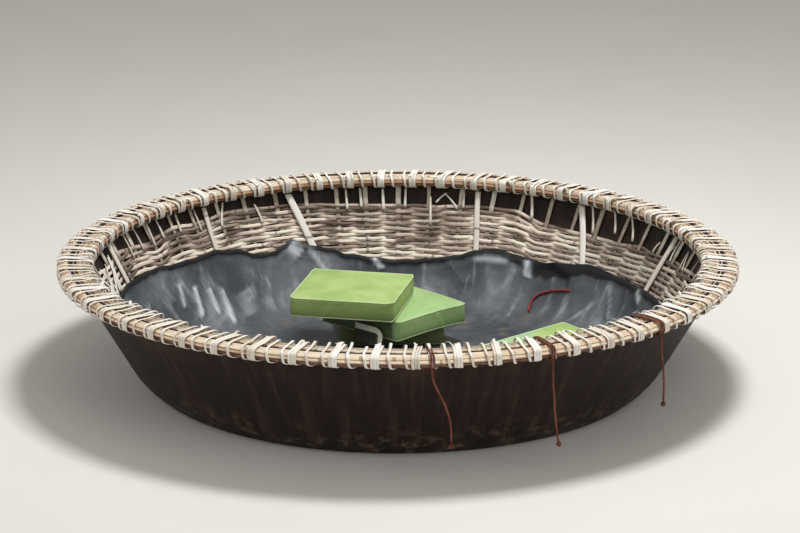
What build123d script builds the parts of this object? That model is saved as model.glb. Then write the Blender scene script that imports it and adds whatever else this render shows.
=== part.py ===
import os
from math import cos, floor, radians, sin, sqrt, tan

from build123d import *

# A round basket boat of split bamboo with a tarred skin, in millimetres.
# The origin is the centre of the flat bottom, +Z is up and +X is to the right.
# A bearing is an angle in degrees seen from above, clockwise from +Y.

# Hull form, on the outside of the skin
rim_diameter = 2300
hull_depth = 460
wall_lean = 30
bilge_radius = 250
skin_thickness = 5
seat_clearance = 0.3

# Wall basketry: uprights with flat bands woven in and out of them
stake_count = 56
stake_width = 22
stake_thickness = 5
stake_tail = 45
weft_thickness = 4
weft_height = 25
weft_gap = 2
weave_bottom = 135
weave_top = 362
rib_width = 30
rib_thickness = 6
rib_tail = 40

# Rim: two split hoops with the wall between them, and spiral lashings
hoop_width = 37
hoop_height = 40
hoop_chamfer = 11
lashing_width = 50
lashing_thickness = 5

# Floor
floor_split_width = 42
floor_split_pitch = 100
floor_edge_gap = 12
liner_thickness = 3
liner_height = 255

# Seat pads
pad_side = 385
pad_thickness = 76
pad_corner = 26
pad_bevel = 10

# Tie cords on the near side of the rim
cord_diameter = 7
tie_turns_width = 16
knot_radius = 9
knot_length = 17
string_diameter = 8
cord_sides = 8

os.makedirs("parts", exist_ok=True)

stake_step = 360 / stake_count
rim_radius = rim_diameter / 2
hoop_bottom = hull_depth - hoop_height
outer_hoop_inside = rim_radius - hoop_width


# Radius of a layer of the straight wall at a height, where depth is measured in from the skin's outer face
def wall_radius(height, depth=0):
    outside = outer_hoop_inside - seat_clearance - (hull_depth - height) * tan(radians(wall_lean))
    return outside - depth / cos(radians(wall_lean))


# A band runs straight from stake to stake, so it comes nearest to a stake at the stake's edges
half_stake = stake_width / 2
shortest_run = 2 * wall_radius(weave_bottom) * sin(radians(stake_step / 2))
weft_swing = (stake_thickness + weft_thickness + 2 * seat_clearance) / (1 - stake_width / shortest_run)
crossing_room = half_stake * weft_swing / shortest_run
corner_room = half_stake * tan(radians(stake_step / 2)) * cos(radians(wall_lean))

# Depths of the hull's layers, from the skin inwards
outer_weft_depth = skin_thickness + seat_clearance
stake_depth = outer_weft_depth + weft_thickness + crossing_room + corner_room + seat_clearance
inner_weft_depth = outer_weft_depth + weft_swing + corner_room
rib_depth = inner_weft_depth + weft_thickness + seat_clearance
liner_depth = rib_depth + rib_thickness + seat_clearance
liner_face = liner_depth + liner_thickness

flat_radius = wall_radius(0) - bilge_radius * tan(radians((90 - wall_lean) / 2))
floor_edge = flat_radius - stake_tail - floor_edge_gap
inner_hoop_outside = wall_radius(hoop_bottom, stake_depth + stake_thickness) - seat_clearance
inner_hoop_inside = inner_hoop_outside - hoop_width


# Point of a layer in the hull at a bearing and a height on the straight wall
def wall_point(bearing, height, depth):
    radius = wall_radius(height, depth)
    return Vector(radius * sin(radians(bearing)), radius * cos(radians(bearing)), height)


# Outline of a layer between two depths, from the floor round the bilge and up the wall
def hull_layer(low, high, start_radius, top_height):
    with BuildLine() as layer:
        for depth in (low, high):
            base = Line((start_radius, depth), (flat_radius, depth))
            turn = JernArc(base @ 1, base % 1, bilge_radius - depth, 90 - wall_lean)
            Line(turn @ 1, (wall_radius(top_height, depth), top_height))
        Line((start_radius, low), (start_radius, high))
        Line((wall_radius(top_height, low), top_height), (wall_radius(top_height, high), top_height))
    return layer.line


# Copies of one piece at bearings, from one made on the +X side
def at_bearings(piece, bearings):
    with Locations([Location((0, 0, 0), (0, 0, 90 - bearing)) for bearing in bearings]):
        add(piece)


# Skin: one tarred sheet over the whole outside, up between the hoops
with BuildPart() as outer_skin:
    with BuildSketch(Plane.XZ):
        make_face(hull_layer(0, skin_thickness, 0, hull_depth - seat_clearance))
    revolve(axis=Axis.Z)
outer_skin.part.label = "outer_skin"
export_step(outer_skin.part, "parts/outer_skin.step")

# Uprights: one stake every step of the wall, turned in over the floor at its foot
with BuildPart() as one_stake:
    with BuildSketch(Plane.XZ):
        stake_top = hull_depth - seat_clearance
        make_face(hull_layer(stake_depth, stake_depth + stake_thickness, flat_radius - stake_tail, stake_top))
    extrude(amount=stake_width / 2, both=True)
with BuildPart() as wall_stakes:
    at_bearings(one_stake.part, [stake * stake_step for stake in range(stake_count)])
wall_stakes.part.label = "wall_stakes"
export_step(wall_stakes.part, "parts/wall_stakes.step")


# Corners of one face of a woven band at a height, in front of every other stake and behind the rest
def weft_corners(height, row, through):
    corners = []
    for stake in range(stake_count):
        passes_inside = (stake + row) % 2 == 0
        depth = inner_weft_depth if passes_inside else outer_weft_depth
        point = wall_point(stake * stake_step, height, depth + through)
        corners.append((point.X, point.Y))
    return corners


# Weave: flat bands round the wall, each row out of step with the next
row_pitch = (weft_height + weft_gap) * cos(radians(wall_lean))
weft_rise = weft_height * cos(radians(wall_lean))
row_count = floor((weave_top - weave_bottom + weft_gap) / row_pitch)
with BuildPart() as wall_weave:
    for row in range(row_count):
        row_height = weave_bottom + row * row_pitch
        for height in (row_height, row_height + weft_rise):
            with BuildSketch(Plane.XY.offset(height)):
                with BuildLine():
                    Polyline(*weft_corners(height, row, 0), close=True)
                make_face()
                with BuildLine():
                    Polyline(*weft_corners(height, row, weft_thickness), close=True)
                make_face(mode=Mode.SUBTRACT)
        loft(ruled=True, clean=False)
wall_weave.part.label = "wall_weave"
export_step(wall_weave.part, "parts/wall_weave.step")

# Ribs: long pale splits laid over the weave at uneven spaces, by bearing
rib_bearings = (-74, -42.6, -20.5, 17, 42, 68, 94, 119, 147, 172, 199, 224, 250, 271)
with BuildPart() as one_rib:
    with BuildSketch(Plane.XZ):
        rib_top = hoop_bottom - 2 * lashing_thickness
        make_face(hull_layer(rib_depth, rib_depth + rib_thickness, flat_radius - rib_tail, rib_top))
    extrude(amount=rib_width / 2, both=True)
with BuildPart() as long_ribs:
    at_bearings(one_rib.part, rib_bearings)
long_ribs.part.label = "long_ribs"
export_step(long_ribs.part, "parts/long_ribs.step")

# Floor: two crossing layers of wide splits inside the ring of stake feet
floor_layer_height = (liner_depth - skin_thickness - 3 * seat_clearance) / 2
floor_layers = (
    # name, underside, turn in degrees
    ("lower", skin_thickness + seat_clearance, 0),
    ("upper", skin_thickness + 2 * seat_clearance + floor_layer_height, 90),
)
splits_each_side = floor((floor_edge - floor_split_width / 2) / floor_split_pitch)
with BuildPart() as floor_splits:
    for _, underside, turn in floor_layers:
        for split in range(-splits_each_side, splits_each_side + 1):
            offset_y = split * floor_split_pitch
            far_edge = abs(offset_y) + floor_split_width / 2
            split_length = 2 * sqrt(floor_edge**2 - far_edge**2)
            with Locations(Location((0, 0, underside), (0, 0, turn))):
                with Locations((0, offset_y, 0)):
                    Box(
                        split_length,
                        floor_split_width,
                        floor_layer_height,
                        align=(Align.CENTER, Align.CENTER, Align.MIN),
                    )
floor_splits.part.label = "floor_splits"
export_step(floor_splits.part, "parts/floor_splits.step")

# Liner: a plastic sheet over the floor and the lower half of the wall
with BuildPart() as floor_liner:
    with BuildSketch(Plane.XZ):
        make_face(hull_layer(liner_depth, liner_face, 0, liner_height))
    revolve(axis=Axis.Z)
floor_liner.part.label = "floor_liner"
export_step(floor_liner.part, "parts/floor_liner.step")

# Hoops: split bamboo, flat towards the wall and rounded off away from it
hoops = (
    # name, inner radius, side of the section that is rounded off
    ("outer_hoop", outer_hoop_inside, 1),
    ("inner_hoop", inner_hoop_inside, -1),
)
for hoop_name, inside, round_side in hoops:
    with BuildPart() as hoop:
        with BuildSketch(Plane.XZ):
            with Locations((inside + hoop_width / 2, hoop_bottom + hoop_height / 2)):
                Rectangle(hoop_width, hoop_height)
            edge_side = vertices().group_by(Axis.X)[-1 if round_side > 0 else 0]
            chamfer(edge_side, hoop_chamfer)
        revolve(axis=Axis.Z)
    hoop.part.label = hoop_name
    export_step(hoop.part, f"parts/{hoop_name}.step")


# Rectangle round the section of both hoops, grown by a margin and reaching down to a height
def rim_outline(margin, bottom, mode=Mode.ADD):
    left = inner_hoop_inside - margin
    right = rim_radius + margin
    top = hull_depth + margin
    with Locations(((left + right) / 2, (top + bottom) / 2)):
        Rectangle(right - left, top - bottom, mode=mode)


# Lashings: bindings round both hoops between the stakes, closed against the skin on both of its faces
with BuildPart() as one_lashing:
    with BuildSketch(Plane.XZ):
        lashing_fit = seat_clearance + lashing_width**2 / (8 * inner_hoop_inside)
        lashing_margin = lashing_fit + lashing_thickness
        rim_outline(lashing_margin, hoop_bottom - lashing_margin)
        chamfer(vertices(), lashing_margin)
        rim_outline(lashing_fit, hoop_bottom - lashing_fit, Mode.SUBTRACT)
        with BuildLine():
            slot_low = hoop_bottom - 2 * lashing_margin
            Polyline(
                (wall_radius(slot_low, -lashing_fit), slot_low),
                (wall_radius(hoop_bottom, -lashing_fit), hoop_bottom),
                (wall_radius(hoop_bottom, skin_thickness + lashing_fit), hoop_bottom),
                (wall_radius(slot_low, skin_thickness + lashing_fit), slot_low),
                close=True,
            )
        make_face(mode=Mode.SUBTRACT)
    extrude(amount=lashing_width / 2, both=True)
with BuildPart() as rim_lashings:
    at_bearings(one_lashing.part, [(stake + 0.5) * stake_step for stake in range(stake_count)])
rim_lashings.part.label = "rim_lashings"
export_step(rim_lashings.part, "parts/rim_lashings.step")

# Ties: turns of cord laid over the rim near a stake, each with a tail that hangs from its outer end
ties = (
    # name, place counted in stakes, points of the tail as (outwards, clockwise along the rim, down)
    ("left", 27.18, ((0, 0, 0), (0, 0, 26), (1, -14, 62), (2, -38, 108), (1, -54, 156), (-1, -60, 204), (-3, -60, 240))),
    ("middle", 24.19, ((0, 0, 0), (0, 0, 50), (1, -5, 105), (-1, -9, 165), (1, -15, 220), (2, -22, 268))),
    ("right", 20.81, ((0, 0, 0), (0, 0, 40), (1, -6, 85), (2, -13, 135), (0, -18, 185), (-2, -19, 225))),
)
with BuildPart() as one_tie:
    with BuildSketch(Plane.XZ):
        rim_outline(seat_clearance + cord_diameter, hoop_bottom)
        chamfer(vertices().group_by(Axis.Y)[-1], cord_diameter)
        rim_outline(seat_clearance, hoop_bottom, Mode.SUBTRACT)
    extrude(amount=tie_turns_width / 2, both=True)
with BuildPart() as rim_ties:
    at_bearings(one_tie.part, [place * stake_step for _, place, _ in ties])
rim_ties.part.label = "rim_ties"
export_step(rim_ties.part, "parts/rim_ties.step")


# Radii for a cord's corners, as large as its runs allow
def bend_radii(points):
    radii = []
    for before, corner, after in zip(points, points[1:], points[2:]):
        turn = (corner - before).get_angle(after - corner)
        shorter = min((corner - before).length, (after - corner).length)
        radii.append(0.45 * shorter / tan(radians(turn / 2)))
    return radii


# A cord of one diameter along its points, and the path that it follows
def cord_along(points, diameter, name):
    radii = bend_radii(points)
    with BuildPart() as cord:
        with BuildLine() as route:
            FilletPolyline(*points, radius=radii)
        path = route.wire()
        with BuildSketch(Plane(origin=path @ 0, z_dir=path % 0)):
            RegularPolygon(diameter / 2, cord_sides)
        sweep(path=path)
    cord.part.label = name
    export_step(cord.part, f"parts/{name}.step")
    print(name, "length", round(path.length), "tightest bend", round(min(radii)))
    return path


tail_radius = rim_radius + seat_clearance + cord_diameter / 2
for tie_name, place, tail in ties:
    across = radians(place * stake_step)
    outwards = Vector(sin(across), cos(across), 0)
    along = Vector(cos(across), -sin(across), 0)
    tail_top = outwards * tail_radius + Vector(0, 0, hoop_bottom)
    tail_points = [tail_top + outwards * out + along * side - Vector(0, 0, down) for out, side, down in tail]
    tail_path = cord_along(tail_points, cord_diameter, f"tie_cord_{tie_name}")
    knot_plane = Plane(origin=tail_path @ 1, z_dir=tail_path % 1)
    with BuildPart() as knot:
        with BuildSketch(knot_plane):
            RegularPolygon(knot_radius, cord_sides)
        extrude(amount=knot_length)
        chamfer(knot.edges(), knot_radius / 3)
    knot.part.label = f"cord_knot_{tie_name}"
    export_step(knot.part, f"parts/cord_knot_{tie_name}.step")

# Loose red string that lies in an arch on the liner where the bilge turns up, as (bearing, height)
string_depth = liner_face + seat_clearance + string_diameter / 2
string_route = ((36.6, 58), (35.6, 74), (35.5, 92), (36.6, 109), (38.8, 123), (41.6, 133), (44.8, 140))
string_points = []
for bearing, height in string_route:
    reach = flat_radius + sqrt((bilge_radius - string_depth) ** 2 - (bilge_radius - height) ** 2)
    string_points.append(Vector(reach * sin(radians(bearing)), reach * cos(radians(bearing)), height))
cord_along(string_points, string_diameter, "inner_string")

# Seat pads: square vinyl cushions, a loose heap by the middle and one that leans on the bilge at the right
pad_places = (
    # name, centre x, centre y, pads beneath, turn, side that is raised, lean
    ("seat_pad_1", -159, 301, 2, -12, 0, 0),
    ("seat_pad_2", -14, 363, 1, 48, 0, 0),
    ("seat_pad_3", flat_radius - 181, 6, 0, 30, 7, 6),
    ("seat_pad_4", -30, flat_radius - 213, 0, 3, 0, 0),
)
for pad_name, centre_x, centre_y, pads_beneath, turn, raised_side, lean in pad_places:
    across = radians(raised_side - turn)
    reach = (pad_side / 2 - pad_corner) * (abs(cos(across)) + abs(sin(across))) + pad_corner - pad_bevel
    level = liner_face + seat_clearance + pads_beneath * (pad_thickness + seat_clearance)
    pad_plane = Plane(
        origin=(centre_x, centre_y, level + reach * sin(radians(lean))),
        x_dir=(cos(radians(turn)), sin(radians(turn)), sin(radians(lean)) * cos(across)),
        z_dir=(
            -sin(radians(lean)) * cos(radians(raised_side)),
            -sin(radians(lean)) * sin(radians(raised_side)),
            cos(radians(lean)),
        ),
    )
    with BuildPart() as seat_pad:
        with BuildSketch(pad_plane):
            RectangleRounded(pad_side, pad_side, pad_corner)
        extrude(amount=pad_thickness)
        flat_faces = seat_pad.faces().filter_by(GeomType.PLANE).sort_by(SortBy.AREA)[-2:]
        chamfer(flat_faces.edges(), pad_bevel)
    seat_pad.part.label = pad_name
    export_step(seat_pad.part, f"parts/{pad_name}.step")
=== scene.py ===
from math import acos, copysign, cos, exp, pi, radians, sin, sqrt, tan

import bmesh
import bpy
from mathutils import Matrix, Vector, noise


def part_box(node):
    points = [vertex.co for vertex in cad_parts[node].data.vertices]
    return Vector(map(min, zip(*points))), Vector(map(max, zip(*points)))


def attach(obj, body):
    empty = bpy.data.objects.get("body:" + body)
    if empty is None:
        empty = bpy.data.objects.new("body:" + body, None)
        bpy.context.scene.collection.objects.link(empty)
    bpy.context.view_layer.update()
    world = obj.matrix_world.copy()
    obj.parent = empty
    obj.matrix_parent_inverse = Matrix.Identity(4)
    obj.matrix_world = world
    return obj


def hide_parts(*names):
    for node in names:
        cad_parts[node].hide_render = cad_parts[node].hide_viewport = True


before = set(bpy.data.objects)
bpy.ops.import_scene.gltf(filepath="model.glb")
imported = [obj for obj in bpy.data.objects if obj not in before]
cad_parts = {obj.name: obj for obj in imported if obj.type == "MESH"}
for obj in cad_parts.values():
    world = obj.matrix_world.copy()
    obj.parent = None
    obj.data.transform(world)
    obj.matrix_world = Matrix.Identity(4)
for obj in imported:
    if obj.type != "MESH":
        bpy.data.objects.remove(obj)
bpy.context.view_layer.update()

scene = bpy.context.scene


# Camera, at the photograph's angle

view = {"lookAt": (0.008, 0, 0.4143), "distance": 10.48, "elevation": 16.2, "lens": 138.6}

print("camera")
cameraData = bpy.data.cameras.new("camera")
cameraData.lens = view["lens"]
camera = bpy.data.objects.new("camera", cameraData)
scene.collection.objects.link(camera)
sightLine = Vector((0, -cos(radians(view["elevation"])), sin(radians(view["elevation"]))))
camera.location = Vector(view["lookAt"]) + sightLine * view["distance"]
camera.rotation_euler = sightLine.to_track_quat("Z", "Y").to_euler()
scene.camera = camera


# The hull's form, as the frame has it: depth is measured in from the skin's outer face,
# and a bearing is an angle seen from above, clockwise from +Y

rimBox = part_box("outer_hoop")
hull = {
    "rimRadius": round(rimBox[1].x, 3),
    "top": round(rimBox[1].z, 3),
    "hoopBottom": round(rimBox[0].z, 3),
    "hoopWidth": 0.037,
    "wallLean": radians(30),
    "bilgeRadius": 0.25,
    "fit": 0.0003,
    "uprights": 56,
    "uprightDepth": 0.0139,   # middle of the uprights
    "ribDepth": 0.0253,       # middle of the long ribs
    "linerDepth": 0.0316,     # the liner's face
    "waterline": 0.04,
}
bilgeTurn = pi / 2 - hull["wallLean"]
uprightStep = 2 * pi / hull["uprights"]


def wallRadius(height, depth):
    outside = hull["rimRadius"] - hull["hoopWidth"] - hull["fit"]
    return outside - (hull["top"] - height) * tan(hull["wallLean"]) - depth / cos(hull["wallLean"])


flatRadius = wallRadius(0, 0) - hull["bilgeRadius"] * tan(bilgeTurn / 2)


# Node trees: a bench makes nodes, and a wire is a socket that takes part in Python's own sums

def setStops(ramp, stops):
    while len(ramp.elements) < len(stops):
        ramp.elements.new(1)
    for element, (position, colour) in zip(ramp.elements, stops):
        element.position = position
        element.color = (*colour, 1)


def setKnots(mapping, knots):
    line = mapping.curves[0]
    while len(line.points) < len(knots):
        line.points.new(1, 1)
    for point, (position, level) in zip(line.points, knots):
        point.location = (position, level)
        point.handle_type = "VECTOR"
    mapping.update()


class Bench:
    def __init__(self, tree):
        self.tree = tree

    def node(self, kind, settings=None, sockets=None, output=0):
        made = self.tree.nodes.new(kind)
        for name, value in (settings or {}).items():
            if name == "stops":
                setStops(made.color_ramp, value)
            elif name == "knots":
                setKnots(made.mapping, value)
            else:
                setattr(made, name, value)
        for key, value in (sockets or {}).items():
            target = made.inputs[key]
            if isinstance(value, Wire):
                self.tree.links.new(value.socket, target)
            elif target.type == "RGBA" and len(value) == 3:
                target.default_value = (*value, 1)
            elif target.type == "VECTOR" and isinstance(value, (int, float)):
                target.default_value = (value, value, value)
            else:
                target.default_value = value
        return Wire(self, made.outputs[output]) if len(made.outputs) else None

    def vector(self, x, y, z):
        return self.node("ShaderNodeCombineXYZ", sockets={"X": x, "Y": y, "Z": z})

    def split(self, vector):
        parts = self.node("ShaderNodeSeparateXYZ", sockets={"Vector": vector})
        return parts.out("X"), parts.out("Y"), parts.out("Z")

    def noise(self, vector, scale, detail=2, roughness=0.5):
        sockets = {"Vector": vector, "Scale": scale, "Detail": detail, "Roughness": roughness}
        return self.node("ShaderNodeTexNoise", sockets=sockets)

    def ramp(self, value, stops):
        return self.node("ShaderNodeValToRGB", {"stops": stops}, {0: value})

    def ease(self, value, low, high):
        settings = {"interpolation_type": "SMOOTHSTEP"}
        return self.node("ShaderNodeMapRange", settings, {0: value, 1: low, 2: high})

    # A value read from knots of (degrees, level) round the boat
    def aroundBoat(self, bearing, knots):
        turns = (bearing / (2 * pi)) % 1
        shares = [(degrees / 360, level) for degrees, level in knots]
        return self.node("ShaderNodeFloatCurve", {"knots": shares}, {1: turns})

    def mix(self, share, first, second):
        return self.node("ShaderNodeMix", {"data_type": "RGBA"}, {0: share, 6: first, 7: second}, output=2)

    def random(self, number, seed, low=0, high=1):
        sockets = {2: low, 3: high, 7: number, 8: seed}
        return self.node("FunctionNodeRandomValue", {"data_type": "FLOAT"}, sockets, output=1)


class Wire:
    def __init__(self, bench, socket):
        self.bench = bench
        self.socket = socket

    def out(self, key):
        return Wire(self.bench, self.socket.node.outputs[key])

    def maths(self, operation, *values):
        kind = "ShaderNodeVectorMath" if self.socket.type == "VECTOR" else "ShaderNodeMath"
        return self.bench.node(kind, {"operation": operation}, dict(enumerate(values)))

    def __add__(self, other):
        return self.maths("ADD", self, other)

    def __radd__(self, other):
        return self.maths("ADD", other, self)

    def __sub__(self, other):
        return self.maths("SUBTRACT", self, other)

    def __rsub__(self, other):
        return self.maths("SUBTRACT", other, self)

    def __mul__(self, other):
        return self.maths("MULTIPLY", self, other)

    def __rmul__(self, other):
        return self.maths("MULTIPLY", other, self)

    def __truediv__(self, other):
        return self.maths("DIVIDE", self, other)

    def __rtruediv__(self, other):
        return self.maths("DIVIDE", other, self)

    def __pow__(self, other):
        return self.maths("POWER", self, other)

    def __mod__(self, other):
        return self.maths("FLOORED_MODULO", self, other)


def sine(value):
    return value.maths("SINE", value) if isinstance(value, Wire) else sin(value)


def cosine(value):
    return value.maths("COSINE", value) if isinstance(value, Wire) else cos(value)


def least(value, limit):
    return value.maths("MINIMUM", value, limit) if isinstance(value, Wire) else min(value, limit)


def most(value, limit):
    return value.maths("MAXIMUM", value, limit) if isinstance(value, Wire) else max(value, limit)


def whole(value):
    return value.maths("FLOOR", value)


def size(value):
    return value.maths("ABSOLUTE", value)


def signedPower(value, power):
    return value.maths("SIGN", value) * size(value) ** power


# Radius, height and lean of a layer at a length along it from the edge of the flat bottom; numbers or wires
def hullPath(along, depth):
    turnRadius = hull["bilgeRadius"] - depth
    turned = least(most(along / turnRadius, 0), bilgeTurn)
    up = most(along - turnRadius * bilgeTurn, 0)
    radius = flatRadius + least(along, 0) + turnRadius * sine(turned) + up * sin(hull["wallLean"])
    height = depth + turnRadius * (1 - cosine(turned)) + up * cos(hull["wallLean"])
    return radius, height, turned


# Directions and points at a bearing
def outwardsAt(bearing):
    return Vector((sin(bearing), cos(bearing), 0))


def clockwiseAt(bearing):
    return Vector((cos(bearing), -sin(bearing), 0))


def pointAt(bearing, radius, height):
    return Vector((radius * sin(bearing), radius * cos(bearing), height))


# The way in from a layer that is turned up by an angle
def inwardAt(bearing, turned):
    return Vector((-sin(turned) * sin(bearing), -sin(turned) * cos(bearing), cos(turned)))


def lengthTo(height, depth):
    turnRadius = hull["bilgeRadius"] - depth
    overTurn = height - depth - turnRadius * (1 - cos(bilgeTurn))
    return turnRadius * bilgeTurn + overTurn / cos(hull["wallLean"])


# Materials

def finish(name, paint):
    material = bpy.data.materials.new(name)
    material.use_nodes = True
    material.node_tree.nodes.clear()
    bench = Bench(material.node_tree)
    shader = bench.node("ShaderNodeBsdfPrincipled", sockets=paint(bench))
    bench.node("ShaderNodeOutputMaterial", sockets={"Surface": shader})
    return material


def place(bench):
    return bench.node("ShaderNodeTexCoord", output="Object")


def attribute(bench, name):
    return bench.node("ShaderNodeAttribute", {"attribute_name": name}, output="Fac")


def bump(bench, height, distance, strength=1):
    return bench.node("ShaderNodeBump", sockets={"Strength": strength, "Distance": distance,
                                                 "Height": height})


# Bearing, radius and height of the shaded point
def around(bench):
    x, y, z = bench.split(place(bench))
    bearing = x.maths("ARCTAN2", x, y)
    radius = (x * x + y * y) ** 0.5
    return bearing, radius, z


tar = {
    "dark": (0.017, 0.0095, 0.0075), "streak": (0.042, 0.025, 0.019), "bare": (0.10, 0.050, 0.032),
    "dust": (0.26, 0.19, 0.13), "weaveRise": 0.0234,
}


def paintTar(bench):
    bearing, radius, z = around(bench)
    at = place(bench)
    run = bench.vector(bearing * 34, z * 3, radius * 2)
    streaks = bench.noise(run, 1.0, 5, 0.62)
    blotches = bench.noise(at, 4.5, 4, 0.6)
    colour = bench.mix(bench.ease(streaks, 0.46, 0.72), tar["dark"], tar["streak"])
    nearRim = bench.ease(z, 0.30, 0.44) * bench.ease(blotches, 0.5, 0.66)
    colour = bench.mix(nearRim * 0.6, colour, tar["bare"])
    splash = (1 - bench.ease(z, 0.04, 0.2)) * bench.ease(bench.noise(at, 22, 5, 0.7), 0.48, 0.68)
    colour = bench.mix(splash * 0.55, colour, tar["dust"])
    checker = cosine(bearing * (hull["uprights"] / 2)) * cosine(z * (pi / tar["weaveRise"]))
    grain = bench.noise(at, 420, 3, 0.6)
    relief = checker * 0.35 + streaks * 0.5 + grain * 0.12 + bench.noise(at, 60, 3) * 0.4
    return {
        "Base Color": colour,
        "Roughness": 0.55 + blotches * 0.24 + splash * 0.2,
        "Specular IOR Level": 0.2,
        "Normal": bump(bench, relief, 0.004),
    }


# Split bamboo: a ramp of tones by the strand's own number, with fine grain along it.
# A darkening below a height is (low, high, colour), and a darkening by bearing is (knots by bearing, colour);
# where they are painted shade is said at their values.
def paintBamboo(stops, grainAlong, knuckles=0, rough=0.62, patchy=0.42, grain=0.45, darkBelow=None, darkening=None):
    def paint(bench):
        bearing, radius, z = around(bench)
        tone = attribute(bench, "tone")
        run = attribute(bench, "run")
        if grainAlong == "round":
            fibres = bench.noise(bench.vector(bearing * 7, z * 520, radius * 520), 1, 4, 0.65)
            patches = bench.noise(bench.vector(bearing * 5, z * 12, radius * 12), 1, 3, 0.6)
        else:
            fibres = bench.noise(bench.vector(bearing * 620, z * 9, radius * 9), 1, 4, 0.65)
            patches = bench.noise(bench.vector(bearing * 24, z * 6, radius * 6), 1, 3, 0.6)
        colour = bench.ramp(tone * 0.72 + (patches - 0.5) * patchy + 0.11, stops)
        colour = bench.mix((1 - bench.ease(fibres, 0.3, 0.62)) * grain, colour, (0.10, 0.065, 0.04))
        # Darker below a height: on the hoops' lower and inner faces this is partly painted shade
        if darkBelow:
            low, high, darkBelowColour = darkBelow
            aboveShare = bench.ease(z + (patches - 0.5) * (high - low) * 2, low, high)
            colour = bench.mix((1 - aboveShare) * 0.9, colour, darkBelowColour)
        # Darker by bearing: painted shade on the weave, partly painted shade on the inner hoop
        if darkening:
            knots, darkeningColour = darkening
            colour = bench.mix(bench.aroundBoat(bearing, knots), colour, darkeningColour)
        relief = fibres * 0.5
        if knuckles:
            apart = size((run + tone * 3) % knuckles - knuckles / 2)
            ring = 1 - bench.ease(apart, 0.002, 0.007)
            colour = bench.mix(ring * 0.6, colour, (0.12, 0.07, 0.04))
            relief = relief + ring * 1.4
        return {
            "Base Color": colour,
            "Roughness": rough + fibres * 0.2,
            "Specular IOR Level": 0.4,
            "Normal": bump(bench, relief, 0.0012),
        }
    return paint


weftTones = [(0.0, (0.13, 0.09, 0.065)), (0.20, (0.34, 0.26, 0.20)), (0.42, (0.60, 0.49, 0.41)),
             (0.58, (0.84, 0.70, 0.58)), (0.74, (0.96, 0.83, 0.68)), (1.0, (0.98, 0.93, 0.80))]
uprightTones = [(0.0, (0.40, 0.33, 0.25)), (0.4, (0.66, 0.58, 0.46)), (0.75, (0.82, 0.76, 0.65)),
                (1.0, (0.90, 0.87, 0.79))]
ribTones = [(0.0, (0.38, 0.34, 0.30)), (0.35, (0.72, 0.64, 0.55)), (0.7, (0.84, 0.79, 0.71)),
            (1.0, (0.93, 0.91, 0.86))]
outerTones = [(0.0, (0.42, 0.29, 0.18)), (0.35, (0.68, 0.50, 0.34)), (0.7, (0.82, 0.67, 0.49)),
              (1.0, (0.90, 0.82, 0.66))]
# The inner hoop's tones are darker and greyer than the outer hoop's: partly painted shade, partly weathering
innerTones = [(0.0, (0.30, 0.24, 0.17)), (0.35, (0.52, 0.43, 0.31)), (0.7, (0.70, 0.60, 0.46)),
              (1.0, (0.82, 0.75, 0.62))]
caneTones = [(0.0, (0.58, 0.49, 0.39)), (0.3, (0.80, 0.72, 0.61)), (0.65, (0.89, 0.84, 0.76)),
             (1.0, (0.95, 0.93, 0.88))]
# Hoops darker below their tops: on the outer hoop's lower edge this is partly painted shade and partly tar
# stain, and on the inner hoop's inner face it is partly painted shade and partly orange-brown wood
outerShadeAndTarBelow = (0.430, 0.440, (0.17, 0.068, 0.040))
innerFaceShadeAndStain = (0.444, 0.454, (0.30, 0.150, 0.072))
# Uprights darker below a height near the weave's top
uprightDarkBelow = (0.345, 0.375, (0.24, 0.18, 0.135))
weftShadeColour = (0.085, 0.066, 0.052)
innerShadeAndWeatherColour = (0.20, 0.185, 0.13)
# Share of darkening by bearing in degrees: painted shade on the weave, and partly painted shade and partly
# weathering on the inner hoop
weftShadeByBearing = ((0, 0.04), (30, 0.06), (44, 0.25), (56, 0.45), (70, 0.45), (84, 0.2), (110, 0.1),
             (250, 0.1), (276, 0.1), (300, 0.16), (318, 0.08), (360, 0.04))
# Inner hoop greyer towards the near side: partly painted shade, partly weathering
innerShadeAndWeathering = ((0, 0), (80, 0), (120, 0.35), (180, 0.5), (240, 0.5), (270, 0.2), (290, 0), (360, 0))
splitTones = [(0.0, (0.26, 0.19, 0.12)), (1.0, (0.5, 0.4, 0.27))]


liner = {
    "sheet": (0.130, 0.142, 0.152), "deep": (0.040, 0.045, 0.055), "worn": (0.62, 0.66, 0.70),
    "mud": (0.20, 0.165, 0.12), "hem": (0.003, 0.003, 0.004),
}


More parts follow.
